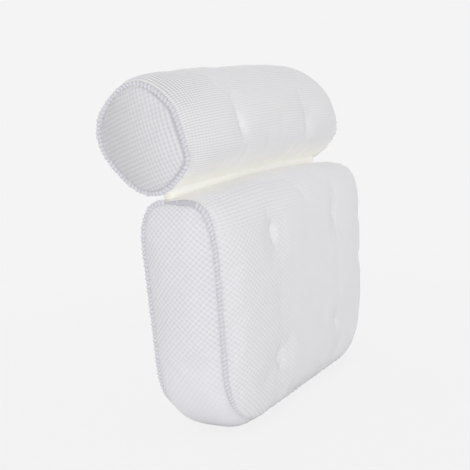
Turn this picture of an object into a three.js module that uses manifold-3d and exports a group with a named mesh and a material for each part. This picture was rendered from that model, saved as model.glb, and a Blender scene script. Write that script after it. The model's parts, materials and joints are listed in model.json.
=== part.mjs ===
// Bath pillow: a stuffed head roll sewn to a shoulder pad by a fabric hinge, with suction cups behind.
// Millimetres, +Z up, the front faces -Y. The origin is under the middle of the whole pillow.
import * as THREE from 'three';
import { mergeVertices } from 'three/addons/utils/BufferGeometryUtils.js';
import Module from 'manifold-3d';

const wasm = await Module();
wasm.setup();

// Cover fabric and sewing
const meshThickness = 3.4;
const seamRadius = 3.3;
const sewingClearance = 0.3;
const fillClearance = 0.5;

// Shoulder pad, measured between its seams
const padWidth = 360;
const padHeight = 234;
const padThicknessTop = 83;
const padThicknessBottom = 75;
const padNarrowing = 22;
const padCornerRadius = 66;
const frontShoulder = { side: -1, depth: 30, drop: 68, squareness: 3 };
const backShoulder = { side: 1, depth: 24, drop: 42, squareness: 2 };

// How far the stuffed pad swells out of its seams
const frontCrown = 15;
const topCrown = 9;
const backCrown = 6;
const boxingCrown = 10.4;
const crownHeight = 20;
const crownFlatness = 6;
const crownRounding = 0.6;
const topFlatness = 3;
const boxingFlatness = 4;
const boxingFade = 3;
const baseFlatDepth = 2;

// Head roll, measured between its seams
const headWidth = 355;
const headLength = 106.8;
const headDepth = 91.2;
const headSquareness = 2.6;
const headLean = 46;
const headSwell = 13;
const headFlatness = 6;
const headRounding = 0.6;
const headEndCrown = 12;

// Fabric hinge between the pad and the roll
const webThickness = 2.6;
const webLength = 336;
const webRootInset = 4;
const hingeSetback = 3.5;
const hingeRise = 5;
const hingeGap = 5;
const hingeBeadRadius = 1.7;
const hingeClearance = 0.5;
const headSeamAngle = 205;

// Tufts and the ties that draw them in
const padTuftSpacing = 158;
const padTuftHeights = { upper: 71, lower: -61 };
const headTuftSpacing = 162;
const headTuftAngle = 130;
const headTieBackAngle = 312;
const tuftDepth = 5.5;
const tuftReach = 26;
const tuftFalloff = 3;
const tieRadius = 1.0;
const knotRadius = 2.4;
const knotCapAngle = 53;

// Suction cups and the eyelets that hold their stems
const padCupInset = 24;
const headCupAngle = 270;
const cupRecess = 4;
const seatReach = 26;
const seatMargin = 1;
const eyeletHoleRadius = 5.2;
const eyeletCollarRadius = 6.8;
const eyeletFlangeRadius = 10;
const eyeletFlangeThickness = 1.4;
const stemRadius = 4.9;
const stemHeadRadius = 7.4;
const stemHeadHeight = 5;
const stemPlay = 0.4;
const cupBossRadius = 9;
const cupRadius = 27.5;
const cupHeight = 15;
const cupRimWidth = 2.5;
const cupWall = 2.2;
const cupShoulderShare = 0.36;
const cupFlankShare = 0.66;
const cupFlankSpread = 0.55;
const dishMiddleShare = 0.8;
const stemTipShare = 0.6;
const stemTaperShare = 0.45;

// Facets of the covers, seams and round pieces
const coverStep = 34;
const shoulderStep = 30;
const crestShare = 0.9;
const topMiddleShare = 0.5;
const footRise = 12;
const boxingSideShares = [0, 0.05, 0.12, 0.22, 0.36, 0.52, 0.76];
const boxingDepthShares = [0, 0.07, 0.17, 0.36, 0.64, 0.83, 0.93, 1];
const seamFaceShares = [0.33, 0.67, 1];
const headSectionStep = 24;
const headEndSteps = [36, 20, 9, 0];
const endLoopShares = [1, 0.8, 0.5];
const beadSides = 12;
const seamSides = 6;
const cupSides = 20;
const eyeletSides = 12;
const tieSides = 6;

// Worked out from the sizes above
const padTop = padHeight / 2;
const padBottom = -padHeight / 2;
const padHalfWidth = padWidth / 2;
const headHalfWidth = headWidth / 2;
const cornerStart = padBottom + padCornerRadius;
const cornerX = padHalfWidth - padCornerRadius;
const seamSetback = seamRadius + sewingClearance;
const panelInset = seamSetback + meshThickness;
const fillInset = meshThickness + fillClearance;
const slotHalf = webThickness / 2 + sewingClearance;
const seatHalf = eyeletFlangeRadius + seatMargin;
const radians = THREE.MathUtils.degToRad;
const lerp = THREE.MathUtils.lerp;
const clamp = THREE.MathUtils.clamp;

// Colours of the fabric, thread, plastic and filling
const looks = {
  mesh: { color: 0xdcdce0, roughness: 0.92, metalness: 0 },
  seam: { color: 0xcfced8, roughness: 0.9, metalness: 0 },
  web: { color: 0xe6e4da, roughness: 0.95, metalness: 0 },
  thread: { color: 0xe4e4e8, roughness: 0.8, metalness: 0 },
  fill: { color: 0xf0efea, roughness: 1, metalness: 0 },
  eyelet: { color: 0xe9e9ea, roughness: 0.45, metalness: 0 },
  cup: { color: 0xd5dee2, roughness: 0.2, metalness: 0 },
};

// Evenly divides each stretch between neighbouring key values
function fillBetween(keys, step) {
  const values = [keys[0]];
  for (let i = 1; i < keys.length; i += 1) {
    const parts = Math.max(1, Math.round(Math.abs(keys[i] - keys[i - 1]) / step));
    for (let k = 1; k <= parts; k += 1) {
      values.push(lerp(keys[i - 1], keys[i], k / parts));
    }
  }
  return values;
}

// A closed solid from points and triangles, turned so that its faces point out
function solidGeometry(points, triangles) {
  let volume = 0;
  for (const [a, b, c] of triangles) {
    volume += points[a].dot(points[b].clone().cross(points[c]));
  }
  const turned = volume < 0 ? triangles.map(([a, b, c]) => [a, c, b]) : triangles;
  const geometry = new THREE.BufferGeometry();
  geometry.setFromPoints(points);
  geometry.setIndex(turned.flat());
  return geometry;
}

// A sheet with thickness: an outer and an inner grid of points, joined along their four edges
function sheetGeometry(outer, inner) {
  const rows = outer.length;
  const columns = outer[0].length;
  const points = [...outer.flat(), ...inner.flat()];
  const triangles = [];
  const out = (i, j) => i * columns + j;
  const within = (i, j) => rows * columns + i * columns + j;
  const quad = (a, b, c, d) => triangles.push([a, b, c], [a, c, d]);
  for (let i = 0; i < rows - 1; i += 1) {
    for (let j = 0; j < columns - 1; j += 1) {
      quad(out(i, j), out(i, j + 1), out(i + 1, j + 1), out(i + 1, j));
      quad(within(i, j), within(i + 1, j), within(i + 1, j + 1), within(i, j + 1));
    }
    quad(out(i, 0), out(i + 1, 0), within(i + 1, 0), within(i, 0));
    quad(out(i + 1, columns - 1), out(i, columns - 1), within(i, columns - 1), within(i + 1, columns - 1));
  }
  for (let j = 0; j < columns - 1; j += 1) {
    quad(out(0, j + 1), out(0, j), within(0, j), within(0, j + 1));
    quad(out(rows - 1, j), out(rows - 1, j + 1), within(rows - 1, j + 1), within(rows - 1, j));
  }
  return solidGeometry(points, triangles);
}

// A solid through a row of closed loops, ended by a fan to a point or joined into a ring
function loftGeometry(loops, ends) {
  const sides = loops[0].length;
  const points = loops.flat();
  const triangles = [];
  const at = (i, j) => (i % loops.length) * sides + (j % sides);
  const stretches = ends ? loops.length - 1 : loops.length;
  for (let i = 0; i < stretches; i += 1) {
    for (let j = 0; j < sides; j += 1) {
      triangles.push([at(i, j), at(i, j + 1), at(i + 1, j + 1)]);
      triangles.push([at(i, j), at(i + 1, j + 1), at(i + 1, j)]);
    }
  }
  if (ends) {
    const first = points.push(ends[0]) - 1;
    const last = points.push(ends[1]) - 1;
    for (let j = 0; j < sides; j += 1) {
      triangles.push([first, at(0, j + 1), at(0, j)]);
      triangles.push([last, at(loops.length - 1, j), at(loops.length - 1, j + 1)]);
    }
  }
  return solidGeometry(points, triangles);
}

// A round bead along stations that carry a centre and the two outward directions of the sewn panels
function beadGeometry(stations, isRing) {
  const loops = stations.map(({ centre, along, across }) => {
    const loop = [];
    for (let k = 0; k < seamSides; k += 1) {
      const angle = (2 * Math.PI * k) / seamSides;
      const point = centre.clone();
      point.addScaledVector(along, seamRadius * Math.cos(angle));
      point.addScaledVector(across, seamRadius * Math.sin(angle));
      loop.push(point);
    }
    return loop;
  });
  const ends = isRing ? null : [stations[0].centre, stations[stations.length - 1].centre];
  return loftGeometry(loops, ends);
}

function toSolid(geometry) {
  const bare = new THREE.BufferGeometry();
  bare.setAttribute('position', geometry.getAttribute('position').clone());
  bare.setIndex(geometry.index ? geometry.index.clone() : null);
  const merged = mergeVertices(bare);
  const vertProperties = new Float32Array(merged.getAttribute('position').array);
  const triVerts = new Uint32Array(merged.index.array);
  return new wasm.Manifold(new wasm.Mesh({ numProp: 3, vertProperties, triVerts }));
}

function fromSolid(solid) {
  const { vertProperties, triVerts } = solid.getMesh();
  const geometry = new THREE.BufferGeometry();
  geometry.setAttribute('position', new THREE.BufferAttribute(new Float32Array(vertProperties), 3));
  geometry.setIndex([...triVerts]);
  return geometry;
}

function cut(geometry, tools) {
  let solid = toSolid(geometry);
  for (const tool of tools) {
    solid = solid.subtract(toSolid(tool));
  }
  return fromSolid(solid);
}

// Turns a shape made around +Y so that it points along a direction, and moves it to a place
function placed(geometry, place, direction) {
  const turn = new THREE.Quaternion().setFromUnitVectors(new THREE.Vector3(0, 1, 0), direction);
  const matrix = new THREE.Matrix4().compose(place, turn, new THREE.Vector3(1, 1, 1));
  return geometry.clone().applyMatrix4(matrix);
}

// A round cutter along the line between two points, carried past both by a margin
function drill(from, to, radius, sides, margin) {
  const direction = to.clone().sub(from).normalize();
  const length = from.distanceTo(to) + 2 * margin;
  const middle = from.clone().add(to).multiplyScalar(0.5);
  return placed(new THREE.CylinderGeometry(radius, radius, length, sides), middle, direction);
}

function ringProfile(pairs) {
  return pairs.map(([radius, along]) => new THREE.Vector2(radius, along));
}

// Half thickness of the pad at its seams, at a height
function padHalfThickness(z) {
  return lerp(padThicknessBottom, padThicknessTop, (z - padBottom) / padHeight) / 2;
}

function shoulderStart(shoulder) {
  return padTop - shoulder.drop;
}

// Where the flat top of the pad meets a shoulder
function shoulderCentre(shoulder) {
  return padHalfThickness(shoulderStart(shoulder)) - shoulder.depth;
}

// Angle on a shoulder's bend at a share of its drop; a squarer shoulder turns more sharply
function bendAngle(shoulder, rise) {
  return Math.asin(rise ** (shoulder.squareness / 2));
}

const hingeY = shoulderCentre(backShoulder) - hingeSetback;
const hingeZ = padTop + hingeRise;

// Width factor of the pad, which narrows towards its bottom
function padNarrow(z) {
  return 1 - ((padTop - z) / padHeight) * (padNarrowing / padWidth);
}

// Steps round a bottom corner of the pad; its seams take the steps halfway between as well
const cornerTurns = [30, 60, 90].map(radians);
const seamTurns = [15, 30, 45, 60, 75, 90].map(radians);

// Columns of the pad: upright lines between the corners, then steps round each bottom corner
const padCupX = padTuftSpacing / 2;
const padColumns = (() => {
  const offsets = [-tuftReach, -seatHalf, 0, seatHalf, tuftReach];
  const key = [0, ...offsets.map((offset) => padCupX + offset)];
  const inner = fillBetween([...key.filter((x) => x < cornerX), cornerX], coverStep);
  const right = inner.map((x) => ({ x, turn: 0 }));
  for (const turn of cornerTurns) {
    right.push({ x: cornerX, turn });
  }
  const left = right.slice(1).reverse().map(({ x, turn }) => ({ x: -x, turn }));
  return [...left, ...right];
})();

function columnX(column, inset) {
  return column.x + Math.sign(column.x) * (padCornerRadius - inset) * Math.sin(column.turn);
}

function columnFoot(column, inset) {
  return cornerStart - (padCornerRadius - inset) * Math.cos(column.turn);
}

// Rows of a pad face: across the top from the hinge, over the shoulder, then down the face
function padRows(shoulder, heights) {
  const start = shoulderStart(shoulder);
  const rows = [{ zone: 'top', share: 1 }];
  if (shoulder.side < 0) {
    rows.push({ zone: 'top', share: topMiddleShare });
  }
  const keys = heights.filter((z) => z > start && z < start + shoulder.drop * crestShare);
  const angles = [Math.PI / 2, ...keys.map((z) => bendAngle(shoulder, (z - start) / shoulder.drop)), 0];
  for (const angle of fillBetween(angles, radians(shoulderStep))) {
    rows.push({ zone: 'shoulder', angle });
  }
  const face = [start, ...heights.filter((z) => z < start), padBottom + footRise, padBottom];
  for (const z of fillBetween(face, coverStep).slice(1)) {
    rows.push({ zone: 'face', share: (start - z) / (start - padBottom) });
  }
  return rows;
}

// The pad's side outline at one row: its place and its outward direction in the Y-Z plane
function outlineAt(shoulder, row, foot, inset) {
  const start = shoulderStart(shoulder);
  const centre = shoulderCentre(shoulder);
  if (row.zone === 'top') {
    const hingeEdge = hingeY + shoulder.side * slotHalf;
    const y = lerp(shoulder.side * centre, hingeEdge, row.share);
    return { y, z: padTop - inset, ny: 0, nz: 1 };
  }
  if (row.zone === 'shoulder') {
    const across = Math.max(Math.cos(row.angle), 0) ** (2 / shoulder.squareness);
    const up = Math.sin(row.angle) ** (2 / shoulder.squareness);
    const y = shoulder.side * (centre + (shoulder.depth - inset) * across);
    const z = start + (shoulder.drop - inset) * up;
    const lean = across ** (shoulder.squareness - 1) / shoulder.depth;
    const rise = up ** (shoulder.squareness - 1) / shoulder.drop;
    const slant = Math.hypot(lean, rise);
    return { y, z, ny: (shoulder.side * lean) / slant, nz: rise / slant };
  }
  const z = lerp(start, foot.outer, row.share);
  const height = row.share === 1 ? foot.edge : z;
  return { y: shoulder.side * (padHalfThickness(height) - inset), z: height, ny: shoulder.side, nz: 0 };
}

// Half depth of the side outline at a height, for the boxing strip between the seams
function outlineDepth(shoulder, z, inset) {
  const start = shoulderStart(shoulder);
  if (z <= start) {
    return padHalfThickness(z) - inset;
  }
  const rise = Math.min((z - start) / (shoulder.drop - inset), 1);
  const across = (1 - rise ** shoulder.squareness) ** (1 / shoulder.squareness);
  return shoulderCentre(shoulder) + (shoulder.depth - inset) * across;
}

function dimple(distance) {
  return tuftDepth * Math.exp(-tuftFalloff * (distance / tuftReach) ** 2);
}

// One at the middle of a cup seat, falling to nothing at the seat's reach
function seatShare(offsetA, offsetB) {
  const distance = Math.max(Math.abs(offsetA), Math.abs(offsetB));
  const share = clamp((seatReach + seatHalf - distance) / seatReach, 0, 1);
  return share * share * (3 - 2 * share);
}

// Tufts and cups of the pad; the cups stand nearer to the pad's middle than the tufts
const padSites = [];
for (const [level, tuftZ] of Object.entries(padTuftHeights)) {
  for (const [hand, sign] of [['left', -1], ['right', 1]]) {
    const cupZ = tuftZ - Math.sign(tuftZ) * padCupInset;
    padSites.push({ name: `pad_${level}_${hand}`, x: sign * padCupX, tuftZ, cupZ });
  }
}

// One over the middle of a stuffed panel, falling ever more steeply to nothing at its sewn edge
function puffed(share, flatness, rounding) {
  return (1 - clamp(Math.abs(share), 0, 1) ** flatness) ** rounding;
}

// How far the stuffing pushes the pad's cover out of the plane of its seams
function crownSwell(shoulder, x, z, row, foot) {
  const crown = shoulder.side < 0 ? frontCrown : backCrown;
  const overTop = shoulder.side < 0 ? topCrown * (1 - Math.abs(x / padHalfWidth) ** topFlatness) : 0;
  if (row.zone === 'top') {
    return overTop * (1 - row.share ** 2);
  }
  const across = puffed(x / (padHalfWidth - seamSetback), crownFlatness, crownRounding);
  const low = Math.max((crownHeight - z) / (crownHeight - foot - seamSetback), 0);
  const up = row.zone === 'shoulder' ? Math.sin(row.angle) ** 2 : 0;
  return lerp(crown * across * puffed(low, crownFlatness, crownRounding), overTop, up);
}

function seatHeight(site) {
  const foot = padBottom;
  const shoulderUp = Math.max(0, (site.cupZ - shoulderStart(backShoulder)) / backShoulder.drop);
  const row = { zone: shoulderUp > 0 ? 'shoulder' : 'face', angle: bendAngle(backShoulder, shoulderUp) };
  const swell = crownSwell(backShoulder, site.x, site.cupZ, row, foot);
  return outlineDepth(backShoulder, site.cupZ, 0) + swell - cupRecess;
}

function padSwell(shoulder, x, z, y, row, foot) {
  let swell = crownSwell(shoulder, x, z, row, foot);
  if (row.zone === 'top') {
    return swell;
  }
  for (const site of padSites) {
    swell -= dimple(Math.hypot(x - site.x, z - site.tuftZ));
  }
  if (shoulder.side > 0) {
    for (const site of padSites) {
      const share = seatShare(x - site.x, z - site.cupZ);
      swell = lerp(swell, seatHeight(site) - y, share);
    }
  }
  return swell;
}

// A point of the pad's cover: edgeInset draws its outline in, depthInset moves it inwards
function padPoint(shoulder, column, row, edgeInset, depthInset) {
  const foot = { outer: columnFoot(column, 0), edge: columnFoot(column, edgeInset) };
  const surface = outlineAt(shoulder, row, foot, 0);
  const x = columnX(column, edgeInset);
  const swell = padSwell(shoulder, x, surface.z, surface.y, row, foot.outer);
  const base = outlineAt(shoulder, row, foot, depthInset);
  return new THREE.Vector3(x * padNarrow(base.z), base.y + base.ny * swell, base.z + base.nz * swell);
}

function padGrid(shoulder, rows, edgeInset, depthInset) {
  return rows.map((row) => {
    return padColumns.map((column) => padPoint(shoulder, column, row, edgeInset, depthInset));
  });
}

// Heights that the tufts and cups ask for
function aroundHeights(middles, reaches) {
  const offsets = [0, ...reaches.flatMap((reach) => [reach, -reach])];
  return middles.flatMap((z) => offsets.map((offset) => z + offset));
}

function downwards(heights) {
  return [...heights].sort((a, b) => b - a);
}

const tuftHeights = Object.values(padTuftHeights);
const cupHeights = [...new Set(padSites.map((site) => site.cupZ))];
const frontRows = padRows(frontShoulder, downwards(aroundHeights(tuftHeights, [seatHalf, tuftReach])));
const backRows = padRows(
  backShoulder,
  downwards([...aroundHeights(cupHeights, [seatHalf]), ...tuftHeights]),
);

// Height on the boxing strip's side, from its top end down to the bottom corner
function boxingHeight(share, inset) {
  return lerp(padTop - seamSetback - inset, cornerStart, share);
}

// Stations of the boxing strip: down the left side, round the corner, along the bottom and up again
function boxingStations(inset) {
  const left = [];
  for (const share of boxingSideShares) {
    left.push({ x: -(padHalfWidth - inset), z: boxingHeight(share, inset), nx: -1, nz: 0 });
  }
  for (const turn of [0, ...cornerTurns]) {
    const nx = -Math.cos(turn);
    const nz = -Math.sin(turn);
    const reach = padCornerRadius - inset;
    left.push({ x: nx * reach - cornerX, z: nz * reach + cornerStart, nx, nz });
  }
  left.push({ x: -cornerX / 2, z: padBottom + inset, nx: 0, nz: -1 });
  const right = left.map(({ x, z, nx, nz }) => ({ x: -x, z, nx: -nx, nz })).reverse();
  const middle = { x: 0, z: padBottom + inset, nx: 0, nz: -1 };
  return [...left, middle, ...right];
}

function boxingGrid(inset) {
  const fadeStart = padTop - frontShoulder.drop;
  const floor = padBottom - boxingCrown + baseFlatDepth + inset;
  return boxingStations(inset).map(({ x, z, nx, nz }) => {
    const front = -outlineDepth(frontShoulder, z, seamSetback + inset);
    const back = outlineDepth(backShoulder, z, seamSetback + inset);
    const rise = clamp((z - fadeStart) / (padTop - seamSetback - inset - fadeStart), 0, 1);
    return boxingDepthShares.map((share) => {
      const fullness = (1 - Math.abs(2 * share - 1) ** boxingFlatness) * (1 - rise ** boxingFade);
      const swell = boxingCrown * fullness;
      const height = Math.max(z + nz * swell, floor);
      return new THREE.Vector3((x + nx * swell) * padNarrow(height), lerp(front, back, share), height);
    });
  });
}

// Angles on a shoulder where the panel or the boxing strip has a row, so that the seam follows both
function shoulderAngles(shoulder, rows) {
  const start = shoulderStart(shoulder);
  const drop = shoulder.drop - seamSetback;
  const heights = boxingSideShares.slice(1).map((share) => boxingHeight(share, 0));
  const strip = heights.filter((z) => z > start).map((z) => bendAngle(shoulder, (z - start) / drop));
  const panel = rows.filter((row) => row.zone === 'shoulder').map((row) => row.angle);
  return [...strip, ...panel].sort((a, b) => b - a);
}

// Stations of a pad seam: over the end of the boxing strip, down its edge and along the bottom
function padSeamStations(shoulder, panelRows) {
  const side = new THREE.Vector3(-1, 0, 0);
  const face = new THREE.Vector3(0, shoulder.side, 0);
  const left = [];
  const topEnd = hingeY + shoulder.side * sewingClearance;
  left.push({
    centre: new THREE.Vector3(-padHalfWidth, topEnd, padTop),
    along: side,
    across: new THREE.Vector3(0, 0, 1),
  });
  const column = { x: -cornerX, turn: Math.PI / 2 };
  const foot = { outer: cornerStart, edge: cornerStart };
  const rows = [];
  for (const angle of shoulderAngles(shoulder, panelRows)) {
    rows.push({ zone: 'shoulder', angle });
  }
  for (const share of seamFaceShares) {
    rows.push({ zone: 'face', share });
  }
  for (const row of rows) {
    const { y, z, ny, nz } = outlineAt(shoulder, row, foot, 0);
    const x = columnX(column, 0) * padNarrow(z);
    left.push({ centre: new THREE.Vector3(x, y, z), along: side, across: new THREE.Vector3(0, ny, nz) });
  }
  for (const turn of seamTurns) {
    const out = new THREE.Vector3(-Math.cos(turn), 0, -Math.sin(turn));
    const z = cornerStart + out.z * padCornerRadius;
    const x = (out.x * padCornerRadius - cornerX) * padNarrow(z);
    const y = shoulder.side * padHalfThickness(z);
    left.push({ centre: new THREE.Vector3(x, y, z), along: out, across: face });
  }
  const right = left.map(({ centre, along, across }) => ({
    centre: centre.clone().setX(-centre.x),
    along: along.clone().setX(-along.x),
    across,
  }));
  return [...left, ...right.reverse()];
}

// The roll's section: a rounded box-like oval whose long axis leans back, seen from its middle
const lean = radians(headLean);
const longAxis = new THREE.Vector2(Math.sin(radians(90) - lean), Math.cos(radians(90) - lean));
const shortAxis = new THREE.Vector2(-longAxis.y, longAxis.x);

function onSection(long, short) {
  return longAxis.clone().multiplyScalar(long).addScaledVector(shortAxis, short);
}

function ovalAt(degrees, inset) {
  const c = Math.cos(radians(degrees));
  const s = Math.sin(radians(degrees));
  const power = 2 / headSquareness;
  const long = (headLength / 2 - inset) * Math.sign(c) * Math.abs(c) ** power;
  const short = (headDepth / 2 - inset) * Math.sign(s) * Math.abs(s) ** power;
  return onSection(long, short);
}

function ovalNormal(degrees) {
  const c = Math.cos(radians(degrees));
  const s = Math.sin(radians(degrees));
  const power = 2 - 2 / headSquareness;
  const long = (Math.sign(c) * Math.abs(c) ** power) / headLength;
  const short = (Math.sign(s) * Math.abs(s) ** power) / headDepth;
  return onSection(long, short).normalize();
}

// Angle that spans a length along the section at a given angle
function ovalSpan(degrees, length, inset) {
  return length / ovalAt(degrees + 0.5, inset).distanceTo(ovalAt(degrees - 0.5, inset));
}

// The roll hangs on its seam: the seam lies above the hinge, and the roll's middle follows from it
const headSeam = ovalAt(headSeamAngle, 0);
const headSeamOut = ovalNormal(headSeamAngle);
const headMiddle = new THREE.Vector3(
  0,
  hingeY - headSeam.x - headSeamOut.x * hingeGap,
  hingeZ - headSeam.y - headSeamOut.y * hingeGap,
);

const headTuftX = headTuftSpacing / 2;
const headColumns = (() => {
  const offsets = [-tuftReach, -seatHalf, 0, seatHalf, tuftReach];
  const ends = headEndSteps.map((step) => headHalfWidth - step);
  const key = [0, ...offsets.map((offset) => headTuftX + offset), ends[0]];
  const right = [...fillBetween(key, coverStep), ...ends.slice(1)];
  return [...right.slice(1).map((x) => -x).reverse(), ...right];
})();

const headAngles = (() => {
  const slot = ovalSpan(headSeamAngle, slotHalf, fillInset);
  const cosSeat = (seatHalf / (headLength / 2)) ** (headSquareness / 2);
  const seatSpan = THREE.MathUtils.radToDeg(Math.asin(cosSeat));
  const tuft = headTuftAngle + 360;
  const near = ovalSpan(headTuftAngle, seatHalf, 0);
  const far = ovalSpan(headTuftAngle, tuftReach, 0);
  const keys = [
    headSeamAngle + slot,
    headCupAngle - seatSpan,
    headCupAngle,
    headCupAngle + seatSpan,
    headTieBackAngle,
    tuft - far,
    tuft - near,
    tuft,
    tuft + near,
    tuft + far,
    headSeamAngle + 360 - slot,
  ];
  return fillBetween(keys, headSectionStep);
})();

const headSites = [
  { name: 'head_left', x: -headTuftX },
  { name: 'head_right', x: headTuftX },
];

// The roll is fattest in its middle and opposite the hinge, and drawn in at its end seams
function headFullness(x, degrees) {
  const along = puffed(x / (headHalfWidth - seamSetback), headFlatness, headRounding);
  const round = Math.sin(radians(degrees - headSeamAngle) / 2) ** 2;
  return headSwell * along * round;
}

const headSeatDepth = headDepth / 2 + headFullness(headTuftX, headCupAngle) - cupRecess;

// A point of the roll's cover, in the roll's own place
function headPoint(x, degrees, inset) {
  const tuft = ovalAt(headTuftAngle, 0);
  const plain = ovalAt(degrees, 0);
  let swell = headFullness(x, degrees);
  for (const site of headSites) {
    swell -= dimple(Math.hypot(x - site.x, plain.distanceTo(tuft)));
  }
  const point = ovalAt(degrees, inset).addScaledVector(ovalNormal(degrees), swell);
  const short = point.dot(shortAxis);
  const isBehind = plain.dot(shortAxis) < 0;
  for (const site of headSites) {
    const share = isBehind ? seatShare(x - site.x, plain.dot(longAxis)) : 0;
    point.addScaledVector(shortAxis, share * (-(headSeatDepth - inset) - short));
  }
  return new THREE.Vector3(x, point.x, point.y);
}

// Columns of the roll's cover end short of the seams; an inset also draws the ends in
function headColumnX(x, endInset) {
  return clamp(x, -(headHalfWidth - endInset), headHalfWidth - endInset);
}

function headGrid(endInset, inset) {
  return headAngles.map((degrees) => {
    return headColumns.map((x) => headPoint(headColumnX(x, endInset), degrees, inset));
  });
}

// Loops and middle of the roll's domed end
function headEndLoops(sign, edgeInset, inset) {
  const edgeShare = 1 - (2 * edgeInset) / headLength;
  const loops = endLoopShares.map((share) => {
    const x = headHalfWidth - inset + headEndCrown * (1 - (share * edgeShare) ** 2);
    return headAngles.map((degrees) => {
      const point = ovalAt(degrees, edgeInset).multiplyScalar(share);
      return new THREE.Vector3(sign * x, point.x, point.y);
    });
  });
  const middle = new THREE.Vector3(sign * (headHalfWidth - inset + headEndCrown), 0, 0);
  return { loops, middle };
}

function headEndCap(sign) {
  const outer = headEndLoops(sign, seamSetback, 0);
  const inner = headEndLoops(sign, panelInset, meshThickness);
  return loftGeometry([...outer.loops.slice().reverse(), ...inner.loops], [outer.middle, inner.middle]);
}

function headSeamStations(sign) {
  const round = [...headAngles, headAngles[0] + 360];
  const between = headAngles.map((degrees, i) => (degrees + round[i + 1]) / 2);
  return [...headAngles, ...between].sort((a, b) => a - b).map((degrees) => {
    const point = ovalAt(degrees, 0);
    const out = ovalNormal(degrees);
    return {
      centre: new THREE.Vector3(sign * headHalfWidth, point.x, point.y),
      along: new THREE.Vector3(sign, 0, 0),
      across: new THREE.Vector3(0, out.x, out.y),
    };
  });
}

// A leaf of the hinge web: its root is sewn in over the cover's whole edge, the rest is shorter
function webLeaf(rootHalf, rootFrom, rootTo, webEnd) {
  const outline = new THREE.Shape();
  outline.moveTo(-rootHalf, rootFrom);
  outline.lineTo(rootHalf, rootFrom);
  outline.lineTo(rootHalf, rootTo);
  outline.lineTo(webLength / 2, rootTo);
  outline.lineTo(webLength / 2, webEnd);
  outline.lineTo(-webLength / 2, webEnd);
  outline.lineTo(-webLength / 2, rootTo);
  outline.lineTo(-rootHalf, rootTo);
  outline.closePath();
  const leaf = new THREE.ExtrudeGeometry(outline, { depth: webThickness, bevelEnabled: false });
  return leaf.translate(0, 0, -webThickness / 2).rotateX(Math.PI / 2);
}

// The lower leaf ends in a round bead on the hinge line
function lowerLeaf() {
  const rootHalf = padHalfWidth - seamSetback - webRootInset;
  const leaf = webLeaf(rootHalf, -(hingeRise + meshThickness), -hingeRise, 0);
  const bead = new THREE.CylinderGeometry(hingeBeadRadius, hingeBeadRadius, webLength, beadSides);
  return fromSolid(toSolid(leaf).add(toSolid(bead.rotateZ(Math.PI / 2))));
}

// The upper leaf stands clear of the bead and reaches into the roll's own seam
function upperLeaf() {
  const rootHalf = headHalfWidth - seamSetback - webRootInset;
  const leaf = webLeaf(rootHalf, hingeGap + meshThickness, hingeGap, hingeBeadRadius + hingeClearance);
  return leaf.rotateX(Math.atan2(headSeamOut.x, -headSeamOut.y));
}

// Positions along a stem, measured outwards from the outside of the mesh
const flangeOuter = sewingClearance + eyeletFlangeThickness;
const flangeInner = -(meshThickness + sewingClearance + eyeletFlangeThickness);
const stemHeadFrom = flangeInner - stemPlay;
const stemTip = stemHeadFrom - stemHeadHeight;
const cupFrom = flangeOuter + stemPlay;
const cupRim = cupFrom + cupHeight;

function eyeletGeometry() {
  const groove = -(meshThickness + sewingClearance);
  const profile = ringProfile([
    [eyeletHoleRadius, flangeOuter],
    [eyeletFlangeRadius, flangeOuter],
    [eyeletFlangeRadius, sewingClearance],
    [eyeletCollarRadius, sewingClearance],
    [eyeletCollarRadius, groove],
    [eyeletFlangeRadius, groove],
    [eyeletFlangeRadius, flangeInner],
    [eyeletHoleRadius, flangeInner],
    [eyeletHoleRadius, flangeOuter],
  ]);
  return new THREE.LatheGeometry(profile.reverse(), eyeletSides);
}

// A flexible cup: stem head, neck, boss and a thin dish with a flat rim
function cupGeometry() {
  const shoulder = cupFrom + cupHeight * cupShoulderShare;
  const flank = cupFrom + cupHeight * cupFlankShare;
  const flankRadius = lerp(cupBossRadius, cupRadius, cupFlankSpread);
  const profile = ringProfile([
    [0, stemTip],
    [stemHeadRadius * stemTipShare, stemTip],
    [stemHeadRadius, lerp(stemTip, stemHeadFrom, stemTaperShare)],
    [stemHeadRadius, stemHeadFrom],
    [stemRadius, stemHeadFrom],
    [stemRadius, cupFrom],
    [cupBossRadius, cupFrom],
    [cupBossRadius, shoulder],
    [flankRadius, flank],
    [cupRadius, cupRim - cupWall / 2],
    [cupRadius, cupRim],
    [cupRadius - cupRimWidth, cupRim],
    [flankRadius, flank + cupWall],
    [cupBossRadius, shoulder + cupWall],
    [0, shoulder + cupWall * dishMiddleShare],
  ]);
  return new THREE.LatheGeometry(profile, cupSides);
}

// A tie: thread with a round knot outside the cover at each end
const knotLift = knotRadius * Math.hypot(1, (2 * tuftDepth) / tuftReach) + sewingClearance;

function tieGeometry(length) {
  const neck = Math.sqrt(knotRadius * knotRadius - tieRadius * tieRadius);
  const half = length / 2 + knotLift;
  const cap = radians(knotCapAngle);
  const upper = [
    [tieRadius, half - neck],
    [knotRadius, half],
    [knotRadius * Math.cos(cap), half + knotRadius * Math.sin(cap)],
    [0, half + knotRadius],
  ];
  const lower = upper.map(([radius, along]) => [radius, -along]).reverse();
  return new THREE.LatheGeometry(ringProfile([...lower, ...upper]), tieSides);
}

function madeMesh(name, geometry, look) {
  const mesh = new THREE.Mesh(geometry, new THREE.MeshStandardMaterial(looks[look]));
  mesh.name = name;
  return mesh;
}

const backwards = new THREE.Vector3(0, 1, 0);
const cupOut = new THREE.Vector3(0, -shortAxis.x, -shortAxis.y);
const tieHole = tieRadius + sewingClearance;
const drillMargin = 12;

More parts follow.
